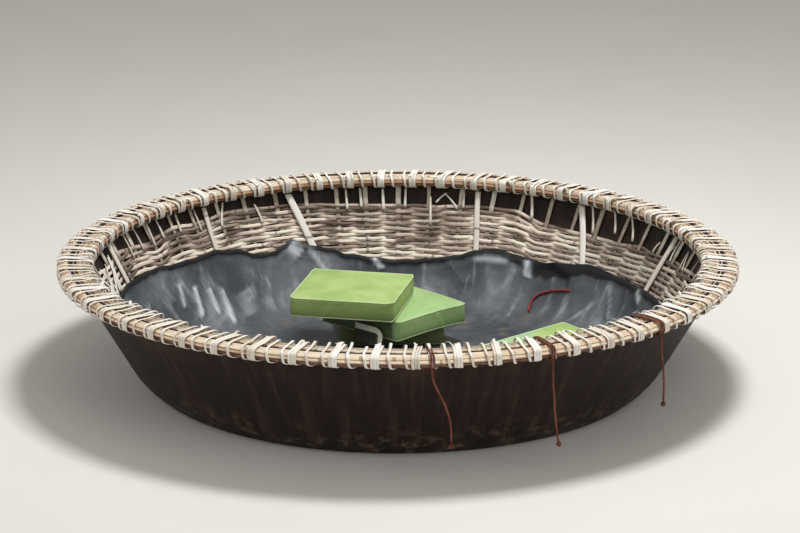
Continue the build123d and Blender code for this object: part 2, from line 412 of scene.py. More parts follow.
def paintLiner(bench):
    bearing, radius, z = around(bench)
    at = place(bench)
    fold = attribute(bench, "fold")
    cloudy = bench.noise(at, 3.2, 5, 0.6)
    scuffs = bench.noise(bench.vector(bearing * 30, z * 5, radius * 5), 1, 5, 0.7)
    colour = bench.mix(bench.ease(cloudy, 0.35, 0.68), liner["deep"], liner["sheet"])
    # Folds and creases painted pale: mostly painted sheen of the glossy sheet, with some wear. The scuffs on
    # the next line are wear.
    colour = bench.mix(bench.ease(fold + (scuffs - 0.5) * 0.35, 0.12, 0.95) * 0.9, colour, liner["worn"])
    colour = bench.mix(bench.ease(scuffs, 0.58, 0.74) * 0.22, colour, liner["worn"])
    # Black along the top edge: a black hem, and painted shadow of the gap behind the edge, widest at 29 to 58
    # degrees
    colour = bench.mix(attribute(bench, "hem"), colour, liner["hem"])
    silt = (1 - bench.ease(z, 0.032, 0.07)) * bench.ease(bench.noise(at, 9, 5, 0.65), 0.5, 0.72)
    colour = bench.mix(silt * 0.5, colour, liner["mud"])
    relief = bench.noise(at, 26, 4, 0.6) * 0.7 + bench.noise(at, 380, 2) * 0.06
    return {
        "Base Color": colour,
        "Roughness": 0.30 + cloudy * 0.2 + silt * 0.35 + attribute(bench, "hem") * 0.25,
        "Specular IOR Level": 0.3,
        "Normal": bump(bench, relief, 0.004),
    }


vinyl = {
    "light": (0.42, 0.56, 0.19), "deep": (0.27, 0.41, 0.095), "scuffAndHighlight": (0.66, 0.76, 0.48),
    "darkening": (0.11, 0.14, 0.04), "mint": (0.36, 0.60, 0.33), "shadeOlive": (0.075, 0.095, 0.030),
    "paintedShadow": (0.020, 0.024, 0.010), "pale": (0.90, 0.94, 0.74),
}


def paintVinyl(tint, tintColour, tintEndsAtX=None, piping=0.75, shadedTo=None, shadedBelow=None, scuffAndHighlight="scuffAndHighlight"):
    def paint(bench):
        at = place(bench)
        cloudy = bench.noise(at, 7, 4, 0.6)
        scuffs = bench.noise(at, 38, 5, 0.72)
        colour = bench.mix(bench.ease(cloudy, 0.3, 0.7), vinyl["deep"], vinyl["light"])
        share = tint
        # The tint stops at a straight line across the pad at this x, with no seam there
        if tintEndsAtX:
            share = tint * (1 - bench.ease(bench.split(at)[0], tintEndsAtX - 0.006, tintEndsAtX + 0.006))
        colour = bench.mix(share, colour, tintColour)
        colour = bench.mix(bench.ease(scuffs, 0.6, 0.75) * 0.4, colour, vinyl["scuffAndHighlight"])
        colour = bench.mix(bench.ease(bench.noise(at, 14, 5, 0.7), 0.58, 0.72) * 0.3, colour, vinyl["darkening"])
        # Lower part of the pad painted darker olive: painted shade
        if shadedBelow:
            low = 1 - bench.ease(bench.split(at)[2], shadedBelow, shadedBelow + 0.05)
            colour = bench.mix(low * 0.55, colour, vinyl["shadeOlive"])
        # Near left side of the pad painted dark olive: painted shade
        if shadedTo:
            x, _, z = bench.split(at)
            sideShade = (1 - bench.ease(x, shadedTo - 0.008, shadedTo + 0.004)) * (1 - bench.ease(z, 0.170, 0.180))
            colour = bench.mix(sideShade * 0.92, colour, vinyl["shadeOlive"])
        # Piping painted pale: partly scuffed vinyl, partly painted highlight along the pads' edges
        colour = bench.mix(attribute(bench, "worn") * piping, colour, vinyl[scuffAndHighlight])
        pores = bench.node("ShaderNodeTexVoronoi", sockets={"Vector": at, "Scale": 620}, output="Distance")
        relief = pores * 0.35 + cloudy * 0.3
        return {
            "Base Color": colour,
            "Roughness": 0.36 + scuffs * 0.2,
            "Specular IOR Level": 0.5,
            "Normal": bump(bench, relief, 0.0008),
        }
    return paint


def paintCord(light, dark, grooveShade):
    def paint(bench):
        at = place(bench)
        drawn = bench.node("ShaderNodeVectorMath", {"operation": "MULTIPLY"}, {0: at, 1: (1, 1, 0.3)})
        fibres = bench.noise(drawn, 900, 3, 0.7)
        worn = bench.noise(at, 30, 4, 0.6)
        groove = attribute(bench, "groove")
        colour = bench.mix(bench.ease(worn, 0.35, 0.7), dark, light)
        # Grooves between the strands painted near-black: painted shade
        colour = bench.mix(groove * grooveShade, colour, (0.03, 0.012, 0.008))
        return {
            "Base Color": colour,
            "Roughness": 0.8 + fibres * 0.15,
            "Specular IOR Level": 0.25,
            "Normal": bump(bench, fibres, 0.0006),
        }
    return paint


print("materials")
tarFinish = finish("tarredSkin", paintTar)
weftPaint = paintBamboo(weftTones, "round", 0.31, patchy=1.6, grain=0.22, darkening=(weftShadeByBearing, weftShadeColour))
weftFinish = finish("weftBamboo", weftPaint)
uprightFinish = finish("uprightBamboo", paintBamboo(uprightTones, "up", darkBelow=uprightDarkBelow))
looseFinish = finish("looseBamboo", paintBamboo(uprightTones, "up"))
ribFinish = finish("ribBamboo", paintBamboo(ribTones, "up", 0.34, 0.5, patchy=0.25, grain=0.25))
innerPaint = paintBamboo(innerTones, "round", 0.37, 0.5, darkBelow=innerFaceShadeAndStain, darkening=(innerShadeAndWeathering, innerShadeAndWeatherColour))
hoopFinish = {
    "outer": finish("outerHoopBamboo", paintBamboo(outerTones, "round", 0.37, 0.5, darkBelow=outerShadeAndTarBelow)),
    "inner": finish("innerHoopBamboo", innerPaint),
}
caneFinish = finish("lashingCane", paintBamboo(caneTones, "up", rough=0.5, grain=0.25))
splitFinish = finish("floorBamboo", paintBamboo(splitTones, "round"))
linerFinish = finish("linerPlastic", paintLiner)
padFinish = {
    "seatPad1": finish("padVinyl", paintVinyl(0, vinyl["light"], shadedBelow=0.184)),
    "seatPad2": finish("padVinylPale", paintVinyl(0.35, vinyl["mint"], piping=0.35, shadedTo=-0.016,
                                                  shadedBelow=0.100)),
    "seatPad3": finish("padVinylMint", paintVinyl(0.7, vinyl["mint"], tintEndsAtX=0.481)),
    # The fourth pad is tinted almost wholly dark olive: painted shade under the pads above it
    "seatPad4": finish("padVinylPaintedShade", paintVinyl(0.88, vinyl["shadeOlive"], piping=0.1)),
}
cordFinish = finish("tieCord", paintCord((0.30, 0.105, 0.06), (0.14, 0.045, 0.03), 0.8))
stringFinish = finish("redString", paintCord((0.42, 0.06, 0.065), (0.22, 0.03, 0.035), 0.5))


# Mesh work

def addPiece(name, mesh, material, smooth=True):
    piece = bpy.data.objects.new(name, mesh)
    scene.collection.objects.link(piece)
    if material:
        mesh.materials.clear()
        mesh.materials.append(material)
    mesh.polygons.foreach_set("use_smooth", [smooth] * len(mesh.polygons))
    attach(piece, "root")
    return piece


def faceOutwards(mesh):
    work = bmesh.new()
    work.from_mesh(mesh)
    bmesh.ops.recalc_face_normals(work, faces=work.faces)
    work.to_mesh(mesh)
    work.free()


def meshFrom(name, corners, faces):
    mesh = bpy.data.meshes.new(name)
    mesh.from_pydata(corners, [], faces)
    faceOutwards(mesh)
    return mesh


def storeValues(mesh, name, values):
    mesh.attributes.new(name, "FLOAT", "POINT").data.foreach_set("value", values)


# Directions across a path at each of its points, carried along it without twist
def framesAlong(path):
    frames = []
    across = None
    for index in range(len(path)):
        ahead = (path[min(index + 1, len(path) - 1)] - path[max(index - 1, 0)]).normalized()
        if across is None:
            across = ahead.orthogonal().normalized()
        across = (across - ahead * across.dot(ahead)).normalized()
        frames.append((across, ahead.cross(across)))
    return frames


# A laid cord: a closed tube with strands that turn round it
def laidCord(name, path, radius, strands, layLength, sides=15):
    corners = []
    grooves = []
    travelled = 0
    for index, (point, (across, beside)) in enumerate(zip(path, framesAlong(path))):
        if index:
            travelled += (point - path[index - 1]).length
        for side in range(sides):
            angle = 2 * pi * side / sides
            lobe = abs(cos(strands / 2 * (angle - 2 * pi * travelled / layLength)))
            reach = radius * (0.80 + 0.22 * lobe ** 0.8)
            corners.append(point + (across * cos(angle) + beside * sin(angle)) * reach)
            grooves.append(1 - lobe)
    rings = len(path)
    faces = []
    for ring in range(rings - 1):
        for side in range(sides):
            after = (side + 1) % sides
            low, high = ring * sides, (ring + 1) * sides
            faces.append((low + side, low + after, high + after, high + side))
    faces.append(tuple(range(sides)))
    faces.append(tuple(range((rings - 1) * sides, rings * sides)))
    mesh = meshFrom(name, corners, faces)
    storeValues(mesh, "groove", grooves)
    return mesh


# The smooth line of a route, read from its NURBS spline
def routeLine(name, points):
    curve = bpy.data.curves.new(name, "CURVE")
    curve.dimensions = "3D"
    curve.resolution_u = 16
    spline = curve.splines.new("NURBS")
    spline.points.add(len(points) - 1)
    for point, target in zip(points, spline.points):
        target.co = (*point, 1)
    spline.order_u = 3
    spline.use_endpoint_u = True
    holder = bpy.data.objects.new(name, curve)
    scene.collection.objects.link(holder)
    line = bpy.data.meshes.new_from_object(holder)
    path = [vertex.co.copy() for vertex in line.vertices]
    bpy.data.meshes.remove(line)
    bpy.data.objects.remove(holder)
    bpy.data.curves.remove(curve)
    return path


# Cords: three tails that hang from the rim, on the routes of the frame's own

cord = {"diameter": 0.007, "strands": 3, "lay": 0.028, "knotWraps": 3, "knotRadius": 0.0055,
        "knotLength": 0.017}
ties = (
    # name, place counted in uprights, tail's points as (outwards, clockwise, down), real length
    ("left", 27.18, ((0, 0, 0), (0, 0, 0.026), (0.001, -0.014, 0.062), (0.002, -0.038, 0.108),
                     (0.001, -0.054, 0.156), (-0.001, -0.060, 0.204), (-0.003, -0.060, 0.240)), 0.251),
    ("middle", 24.19, ((0, 0, 0), (0, 0, 0.050), (0.001, -0.005, 0.105), (-0.001, -0.009, 0.165),
                       (0.001, -0.015, 0.220), (0.002, -0.022, 0.268)), 0.269),
    ("right", 20.81, ((0, 0, 0), (0, 0, 0.040), (0.001, -0.006, 0.085), (0.002, -0.013, 0.135),
                      (0, -0.018, 0.185), (-0.002, -0.019, 0.225)), 0.226),
)


# The knot at a tail's end: wraps round the cord, and a stub that comes out below
def knotPath(start, ahead):
    across = ahead.orthogonal().normalized()
    beside = ahead.cross(across)
    wrapRadius = cord["knotRadius"]
    path = []
    steps = cord["knotWraps"] * 14
    for step in range(steps + 1):
        share = step / steps
        angle = 2 * pi * cord["knotWraps"] * share
        swell = wrapRadius * (0.62 + 0.38 * sin(pi * share))
        along = cord["diameter"] / 2 + (cord["knotLength"] - cord["diameter"]) * share
        path.append(start + ahead * along + (across * cos(angle) + beside * sin(angle)) * swell)
    return path


print("cords")
tailRadius = hull["rimRadius"] + hull["fit"] + cord["diameter"] / 2
for name, spot, tail, length in ties:
    bearing = spot * uprightStep
    outwards = outwardsAt(bearing)
    clockwise = clockwiseAt(bearing)
    tailTop = outwards * tailRadius + Vector((0, 0, hull["hoopBottom"]))
    route = [tailTop + outwards * out + clockwise * side - Vector((0, 0, down)) for out, side, down in tail]
    path = routeLine(name + "Route", route)
    tailMesh = laidCord(name, path, cord["diameter"] / 2, cord["strands"], cord["lay"])
    piece = addPiece(name + "TieCord", tailMesh, cordFinish)
    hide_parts("tie_cord_" + name)
    ahead = (path[-1] - path[-2]).normalized()
    knotMesh = laidCord(name + "Knot", knotPath(path[-1], ahead), cord["diameter"] / 2 * 0.9,
                        cord["strands"], cord["lay"], 10)
    knot = addPiece(name + "Knot", knotMesh, cordFinish)
    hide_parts("cord_knot_" + name)

redString = {
    "diameter": 0.008, "length": 0.223, "strands": 2, "lay": 0.034,
    # bearing in degrees, height
    "route": ((36.6, 0.058), (35.6, 0.074), (35.5, 0.092), (36.6, 0.109), (38.8, 0.123), (41.6, 0.133),
              (44.8, 0.140)),
}
stringDepth = hull["linerDepth"] + hull["fit"] + redString["diameter"] / 2
route = []
for degrees, height in redString["route"]:
    reach = flatRadius + sqrt((hull["bilgeRadius"] - stringDepth) ** 2 - (hull["bilgeRadius"] - height) ** 2)
    route.append(pointAt(radians(degrees), reach, height))
path = routeLine("stringRoute", route)
stringMesh = laidCord("innerString", path, redString["diameter"] / 2, redString["strands"],
                      redString["lay"], 12)
innerString = addPiece("innerString", stringMesh, stringFinish)
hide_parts("inner_string")


# Strands by Geometry Nodes: many alike curves, each point placed by the strand's number and the point's own

def strandTree(name, values, placeStrand, closed):
    tree = bpy.data.node_groups.new(name, "GeometryNodeTree")
    tree.interface.new_socket("Geometry", in_out="INPUT", socket_type="NodeSocketGeometry")
    for label, value in values.items():
        kind = "NodeSocketInt" if isinstance(value, int) else "NodeSocketFloat"
        tree.interface.new_socket(label, in_out="INPUT", socket_type=kind)
    tree.interface.new_socket("Material", in_out="INPUT", socket_type="NodeSocketMaterial")
    tree.interface.new_socket("Geometry", in_out="OUTPUT", socket_type="NodeSocketGeometry")
    bench = Bench(tree)
    entry = bench.node("NodeGroupInput")
    given = {label: entry.out(label) for label in values}
    line = bench.node("GeometryNodeCurvePrimitiveLine")
    line = bench.node("GeometryNodeResampleCurve", sockets={"Curve": line, "Count": given["Points"]})
    copies = bench.node("GeometryNodeDuplicateElements", {"domain": "SPLINE"},
                        {"Geometry": line, "Amount": given["Strands"]})
    number = copies.out("Duplicate Index")
    step = bench.node("GeometryNodeSplineParameter", output="Index")
    strand = placeStrand(bench, given, number, step)
    curves = copies
    for label in ("tone", "run"):
        sockets = {"Geometry": curves, "Name": label, "Value": strand[label]}
        curves = bench.node("GeometryNodeStoreNamedAttribute", {"data_type": "FLOAT", "domain": "POINT"},
                            sockets)
    curves = bench.node("GeometryNodeSetPosition", sockets={"Geometry": curves, "Position": strand["point"]})
    curves = bench.node("GeometryNodeSetSplineCyclic", sockets={"Geometry": curves, "Cyclic": closed})
    curves = bench.node("GeometryNodeSetCurveNormal", {"mode": "FREE"},
                        {"Curve": curves, "Normal": strand["outward"]})
    profile = bench.node("GeometryNodeCurvePrimitiveQuadrilateral",
                         sockets={"Width": given["Thickness"], "Height": given["Width"]})
    profile = bench.node("GeometryNodeFilletCurve", {"mode": "POLY"},
                         {"Curve": profile, "Count": 1, "Radius": given["Thickness"] * 0.42,
                          "Limit Radius": True})
    built = bench.node("GeometryNodeCurveToMesh",
                       sockets={"Curve": curves, "Profile Curve": profile, "Scale": strand["swell"],
                                "Fill Caps": True})
    built = bench.node("GeometryNodeRealizeInstances", sockets={"Geometry": built})
    built = bench.node("GeometryNodeSetMaterial",
                       sockets={"Geometry": built, "Material": entry.out("Material")})
    bench.node("NodeGroupOutput", sockets={"Geometry": built})
    return tree


# The tree's result as a plain mesh, with the modifier gone
def growStrands(name, values, placeStrand, closed, material):
    tree = strandTree(name, values, placeStrand, closed)
    holder = bpy.data.objects.new(name + "Holder", bpy.data.meshes.new(name + "Holder"))
    scene.collection.objects.link(holder)
    modifier = holder.modifiers.new(name, "NODES")
    modifier.node_group = tree
    for item in tree.interface.items_tree:
        if item.in_out == "INPUT" and item.name in values:
            modifier[item.identifier] = values[item.name]
        elif item.in_out == "INPUT" and item.name == "Material":
            modifier[item.identifier] = material
    depsgraph = bpy.context.evaluated_depsgraph_get()
    mesh = bpy.data.meshes.new_from_object(holder.evaluated_get(depsgraph), depsgraph=depsgraph)
    holder.modifiers.remove(modifier)
    bpy.data.objects.remove(holder)
    mesh.name = name
    faceOutwards(mesh)
    print("  " + name, len(mesh.polygons), "faces")
    return addPiece(name, mesh, material)


# A point, or a direction, of the hull at a bearing, radius and height
def polar(bench, bearing, radius, height):
    return bench.vector(radius * sine(bearing), radius * cosine(bearing), height)


# Noise that closes on itself round the boat, with its own line for each strand
def roughAround(bench, bearing, number, scale, apart, detail):
    return bench.noise(bench.vector(sine(bearing) * scale, cosine(bearing) * scale, number * apart), 1,
                       detail)


# Wall weave: thin bands in front of one upright and behind the next

weave = {
    "Strands": 23, "Points": 336, "Width": 0.0118, "Thickness": 0.0030, "Bottom": 0.134, "Swing": 0.0056,
    "Wobble": 0.0034, "Seed": 4,
}
# Height of the weave's ragged top by bearing in degrees
weaveTop = (
    (0, 0.357), (8, 0.354), (16.6, 0.360), (25.5, 0.360), (30.8, 0.326), (37.8, 0.322), (46.7, 0.318),
    (58.7, 0.330), (90, 0.350), (130, 0.362), (180, 0.352), (230, 0.364), (275, 0.350), (294.6, 0.366),
    (301.1, 0.350), (308.6, 0.375), (313.9, 0.363), (321.7, 0.382), (334, 0.378), (342.7, 0.372),
    (351.2, 0.360), (360, 0.357),
)


def placeWeft(bench, given, number, step):
    bearing = step * (2 * pi) / given["Points"]
    level = (number + 0.5) / given["Strands"]
    rough = roughAround(bench, bearing, number, 9, 7.3, 3)
    height = given["Bottom"] + level * (bench.aroundBoat(bearing, weaveTop) - given["Bottom"])
    height = height + (rough - 0.5) * 4 * given["Wobble"]
    depth = hull["uprightDepth"] + given["Swing"] * cosine(bearing * (hull["uprights"] / 2) + number * pi)
    radius = wallRadius(height, depth)
    piece = whole(bearing * 1.9 + bench.random(number, given["Seed"]) * 9)
    crossing = whole(bearing * (hull["uprights"] / (2 * pi)) + number * 0.5)
    tone = bench.random(number * 31 + piece, given["Seed"] + 1) * 0.45
    tone = tone + bench.random(number * 67 + crossing, given["Seed"] + 3) * 0.55
    # Lower rows painted lighter and upper rows darker: painted shade under the rim's overhang
    tone = 0.54 + (tone - 0.5) * 1.5 + (0.5 - level) * 0.75
    return {
        "point": polar(bench, bearing, radius, height),
        "outward": polar(bench, bearing, cos(hull["wallLean"]), -sin(hull["wallLean"])),
        "swell": 0.85 + 0.3 * bench.random(number * 17 + piece, given["Seed"] + 2) + (rough - 0.5) * 0.5,
        "tone": tone,
        "run": bearing * 0.95,
    }


print("wall")
wallWeft = growStrands("wallWeft", weave, placeWeft, True, weftFinish)
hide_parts("wall_weave")


# Uprights: splits that turn up from the floor and stand above the weave

uprights = {
    "Strands": hull["uprights"], "Points": 30, "Width": 0.0185, "Thickness": 0.0046, "Tail": 0.045,
    "Lean": 0.010, "Waver": 0.004, "Seed": 11,
}
uprightLength = lengthTo(hull["top"] - 0.004, hull["uprightDepth"])


def placeUpright(bench, given, number, step):
    share = step / (given["Points"] - 1)
    along = share * (uprightLength + given["Tail"]) - given["Tail"]
    radius, height, turned = hullPath(along, hull["uprightDepth"])
    lean = bench.random(number, given["Seed"], -1, 1) * given["Lean"] * share * share
    rough = bench.noise(bench.vector(number * 5.7, share * 3, 0), 1, 2)
    waver = (rough - 0.5) * 2 * given["Waver"]
    bearing = number * uprightStep + (lean + waver) / radius
    return {
        "point": polar(bench, bearing, radius, height),
        "outward": polar(bench, bearing, sine(turned), cosine(turned) * -1),
        "swell": bench.random(number, given["Seed"] + 1, 0.72, 1.15),
        "tone": bench.random(number, given["Seed"] + 2),
        "run": along,
    }


wallUprights = growStrands("wallUprights", uprights, placeUpright, False, uprightFinish)
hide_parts("wall_stakes")


# Loose ends: thin splits that stick up out of the weave between the uprights, by sector in degrees

looseEnds = {
    "Strands": 52, "Points": 7, "Width": 0.0085, "Thickness": 0.0022, "Foot": 0.335, "Reach": 0.075,
    "Lean": 0.034, "First": 62.0, "Sector": 186.0, "Seed": 23,
}
leftTangle = {
    **looseEnds, "Strands": 42, "Width": 0.0125, "Foot": 0.275, "Reach": 0.115, "Lean": 0.095,
    "First": 246.0, "Sector": 36.0, "Seed": 61,
}


def placeLooseEnd(bench, given, number, step):
    share = step / (given["Points"] - 1)
    spread = (number + bench.random(number, given["Seed"], 0.1, 0.9)) / given["Strands"]
    turn = (given["First"] + spread * given["Sector"]) * (pi / 180)
    length = given["Reach"] * bench.random(number, given["Seed"] + 1, 0.45, 1.1)
    bend = bench.random(number, given["Seed"] + 2, -1, 1)
    height = least(given["Foot"] + length * share * (1 - share * size(bend) * 0.35), hull["top"] - 0.008)
    depth = 0.0215 + share * (1 - share) * 0.010
    radius = wallRadius(height, depth)
    bearing = turn + bend * given["Lean"] * share / radius
    return {
        "point": polar(bench, bearing, radius, height),
        "outward": polar(bench, bearing, cos(hull["wallLean"]), -sin(hull["wallLean"])),
        "swell": bench.random(number, given["Seed"] + 3, 0.6, 1.2) * (1 - share * 0.35),
        "tone": bench.random(number, given["Seed"] + 4, 0.4, 1),
        "run": share,
    }


growStrands("wallLooseEnds", looseEnds, placeLooseEnd, False, looseFinish)
# The left tangle takes the pale lashing cane's finish, paler than the wall's loose ends: partly painted light
# where the sun falls on that wall
growStrands("leftTangle", leftTangle, placeLooseEnd, False, caneFinish)


# Flat splits in one mesh, each along stations of (centre, across, inward, half width, tone, run)
def splitMesh(name, splits, thickness):
    corners = []
    faces = []
    tones = []
    runs = []
    section = ((-1, -1), (-1, 0.35), (-0.55, 1), (0.55, 1), (1, 0.35), (1, -1))
    around = len(section)
    for stations in splits:
        first = len(corners)
        for centre, across, inward, half, tone, run in stations:
            for side, rise in section:
                corners.append(centre + across * side * half + inward * rise * thickness / 2)
                tones.append(tone)
                runs.append(run)
        for station in range(len(stations) - 1):
            low = first + station * around
            for side in range(around):
                after = (side + 1) % around
                faces.append((low + side, low + after, low + around + after, low + around + side))
        faces.append(tuple(range(first, first + around)))
        faces.append(tuple(range(len(corners) - around, len(corners))))
    mesh = meshFrom(name, corners, faces)
    storeValues(mesh, "tone", tones)
    storeValues(mesh, "run", runs)
    return mesh


farEnds = {
    "depth": 0.0235, "thickness": 0.0024, "taper": 0.3, "bow": 0.004, "stations": 7,
    "splits": (
        # bearing and height at the foot, bearing and height at the top, width, tone
        (-66.8, 0.330, -66.8, 0.424, 0.009, 0.7), (-62.5, 0.340, -62.7, 0.418, 0.008, 0.8),
        (-58.5, 0.335, -58.2, 0.420, 0.010, 0.6), (-55.0, 0.350, -55.2, 0.412, 0.009, 0.9),
        (-49.8, 0.352, -49.6, 0.415, 0.011, 0.8), (-44.5, 0.340, -44.7, 0.410, 0.008, 0.7),
        (-39.2, 0.336, -37.3, 0.415, 0.011, 0.85), (-29.5, 0.325, -30.4, 0.392, 0.010, 0.7),
        (-10.6, 0.345, -10.6, 0.412, 0.010, 0.9), (-7.6, 0.350, -7.7, 0.415, 0.011, 1.0),
        (-3.0, 0.340, -3.1, 0.410, 0.012, 1.0), (1.5, 0.348, 1.6, 0.414, 0.010, 0.9),
        (7.0, 0.291, 6.7, 0.385, 0.010, 0.8), (8.0, 0.366, 9.9, 0.399, 0.010, 1.0),
        (12.4, 0.348, 9.6, 0.398, 0.010, 0.95), (13.7, 0.352, 13.6, 0.402, 0.009, 0.8),
        (29.0, 0.339, 27.5, 0.433, 0.012, 0.95), (44.4, 0.330, 41.9, 0.421, 0.011, 0.8),
        (50.1, 0.348, 47.6, 0.424, 0.011, 0.85), (55.7, 0.342, 51.5, 0.440, 0.012, 0.9),
    ),
}


def farEndStations(foot, footHeight, top, topHeight, width, tone):
    stations = []
    for index in range(farEnds["stations"]):
        share = index / (farEnds["stations"] - 1)
        height = footHeight + (topHeight - footHeight) * share
        bearing = radians(foot + (top - foot) * share ** 1.3)
        radius = wallRadius(height, farEnds["depth"] + farEnds["bow"] * share * (1 - share))
        half = width / 2 * (1 - farEnds["taper"] * share)
        centre = pointAt(bearing, radius, height)
        stations.append((centre, clockwiseAt(bearing), inwardAt(bearing, bilgeTurn), half, tone, share))
    return stations


farEndMesh = splitMesh("farLooseEnds", [farEndStations(*split) for split in farEnds["splits"]],
                       farEnds["thickness"])
addPiece("farLooseEnds", farEndMesh, looseFinish)


# Long ribs over the weave, each a flat split with its own lean

ribs = {
    "width": 0.028, "thickness": 0.006, "tail": 0.040, "points": 34, "level": 0.300, "straightBelow": 0.150,
    "splits": (
        # bearing at the level, degrees that it turns for each metre up, width share, tone
        (-74, 4, 0.9, 0.55), (-42.5, 2.5, 0.6, 0.45), (-20.6, -19.3, 0.95, 0.95), (17.2, -7.4, 0.7, 0.6),
        (42.8, -29, 0.95, 0.98), (68, 6, 0.9, 0.4), (94, -8, 1.0, 0.6), (119, 10, 0.9, 0.5),
        (147, -6, 1.1, 0.7), (172, 7, 0.9, 0.35), (199, -9, 1.0, 0.6), (224, 4, 0.9, 0.75),
        (250, 8, 1.1, 0.45), (271, -6, 0.9, 0.6),
    ),
}


def ribStations(degrees, lean, widthShare, tone):
    top = lengthTo(hull["hoopBottom"] - 0.010, hull["ribDepth"])
    stations = []
    for index in range(ribs["points"]):
        share = index / (ribs["points"] - 1)
        along = share * (top + ribs["tail"]) - ribs["tail"]
        half = ribs["width"] / 2 * widthShare * (1 - 0.12 * noise.noise(Vector((degrees, share * 6, 0))))
        sway = 0.004 * noise.noise(Vector((degrees * 3.1, share * 4, 5)))
        radius, height, turned = hullPath(along, hull["ribDepth"])
        above = max(height, ribs["straightBelow"]) - ribs["level"]
        bearing = radians(degrees + lean * above) + sway / radius
        centre = pointAt(bearing, radius, height)
        stations.append((centre, clockwiseAt(bearing), inwardAt(bearing, turned), half, tone, along))
    return stations


ribMesh = splitMesh("longRibs", [ribStations(*split) for split in ribs["splits"]], ribs["thickness"] * 0.9)
longRibs = addPiece("longRibs", ribMesh, ribFinish)
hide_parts("long_ribs")


# Hoops: each a bundle of splits, two across and three high

bundle = {
    "Strands": 6, "Points": 300, "Width": 0.0128, "Thickness": 0.0176, "Waver": 0.0011,
    "Pull In": 0.0060, "Drop": 0.0042, "Inside": 0.0, "Bottom": hull["hoopBottom"], "Round Side": 1.0,
    "Seed": 31,
}


def placeHoopSplit(bench, given, number, step):
    bearing = step * (2 * pi) / given["Points"]
    column = number % 2
    row = whole(number / 2)
    waver = (roughAround(bench, bearing, number, 2.2, 3.7, 2) - 0.5) * 4 * given["Waver"]
    onEdge = size(row - 1) * (column * given["Round Side"] + (1 - given["Round Side"]) / 2)
    tuck = size(onEdge) * given["Pull In"]
    radius = given["Inside"] + (column + 0.5) * hull["hoopWidth"] / 2 + waver - tuck * given["Round Side"]
    height = given["Bottom"] + (row + 0.5) * (hull["top"] - hull["hoopBottom"]) / 3 + waver * 0.3
    height = height - (row - 1) * size(onEdge) * given["Drop"]
    run = bearing * radius
    tone = bench.random(number * 13 + whole(bearing * 1.1 + number * 0.7), given["Seed"])
    apart = size((run + tone * 3) % 0.37 - 0.185)
    uneven = bench.noise(bench.vector(bearing * 3, number * 9, 0), 1, 2)
    return {
        "point": polar(bench, bearing, radius, height),
        "outward": polar(bench, bearing, 1, 0),
        "swell": 0.93 + 0.05 * uneven + most(1 - apart / 0.024, 0) * 0.07,
        "tone": tone,
        "run": run,
    }


print("rim")
innerInside = round(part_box("inner_hoop")[1].x, 4) - hull["hoopWidth"]
outerInside = hull["rimRadius"] - hull["hoopWidth"]
for side, inside, roundSide in (("outer", outerInside, 1.0), ("inner", innerInside, -1.0)):
    values = dict(bundle, Inside=inside, Seed=bundle["Seed"] + (roundSide > 0))
    values["Round Side"] = roundSide
    hoop = growStrands(side + "Hoop", values, placeHoopSplit, True, hoopFinish[side])
    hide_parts(side + "_hoop")


# Packing: thin splits that fill the wedge between the hoops, inside and outside the uprights

packing = {
    "Strands": 4, "Points": 240, "Width": 0.0088, "Thickness": 0.0086, "Waver": 0.0010,
    "Inside": innerInside + hull["hoopWidth"], "Outer": 1.0972, "First In": 0.0047, "Column": 0.0086,
    "Shift": 0.0040, "Row": 0.0092, "Level": hull["top"] - 0.0066, "Seed": 37,
}


def placePacking(bench, given, number, step):
    bearing = step * (2 * pi) / given["Points"]
    waver = (roughAround(bench, bearing, number, 3, 4.1, 2) - 0.5) * 4 * given["Waver"]
    row = whole(number / 2)
    outside = most(number - 2, 0)
    radius = given["Inside"] + given["First In"] + (number % 2) * (1 - row) * given["Column"]
    radius = radius + row * given["Shift"]
    radius = radius * (1 - outside) + given["Outer"] * outside + waver * 0.4
    height = given["Level"] - row * (1 - outside) * given["Row"] + waver
    return {
        "point": polar(bench, bearing, radius, height),
        "outward": polar(bench, bearing, 1, 0),
        "swell": 1 - outside * 0.34,
        "tone": bench.random(number * 29 + whole(bearing * 2.3 + number), given["Seed"]),
        "run": bearing * radius,
    }


growStrands("rimPacking", packing, placePacking, True, hoopFinish["outer"])


# Lashings: turns of split cane round both hoops, tight in a group between each two uprights
# and then long ones on to the next group

lashing = {
    "Strands": hull["uprights"], "Tight Turns": 3, "Long Turns": 2, "Turn Points": 28, "Points": 141,
    "Width": 0.0088, "Thickness": 0.0026, "Group Width": 0.026, "Slant": 0.010, "Squareness": 0.50,
    "Gap": 0.0006, "Loose": 0.0020, "Proud": 0.0100, "Seed": 41,
}
rimMiddle = (hull["rimRadius"] + innerInside) / 2
rimHalf = (hull["rimRadius"] - innerInside) / 2
hoopMiddle = (hull["top"] + hull["hoopBottom"]) / 2
hoopHalf = (hull["top"] - hull["hoopBottom"]) / 2


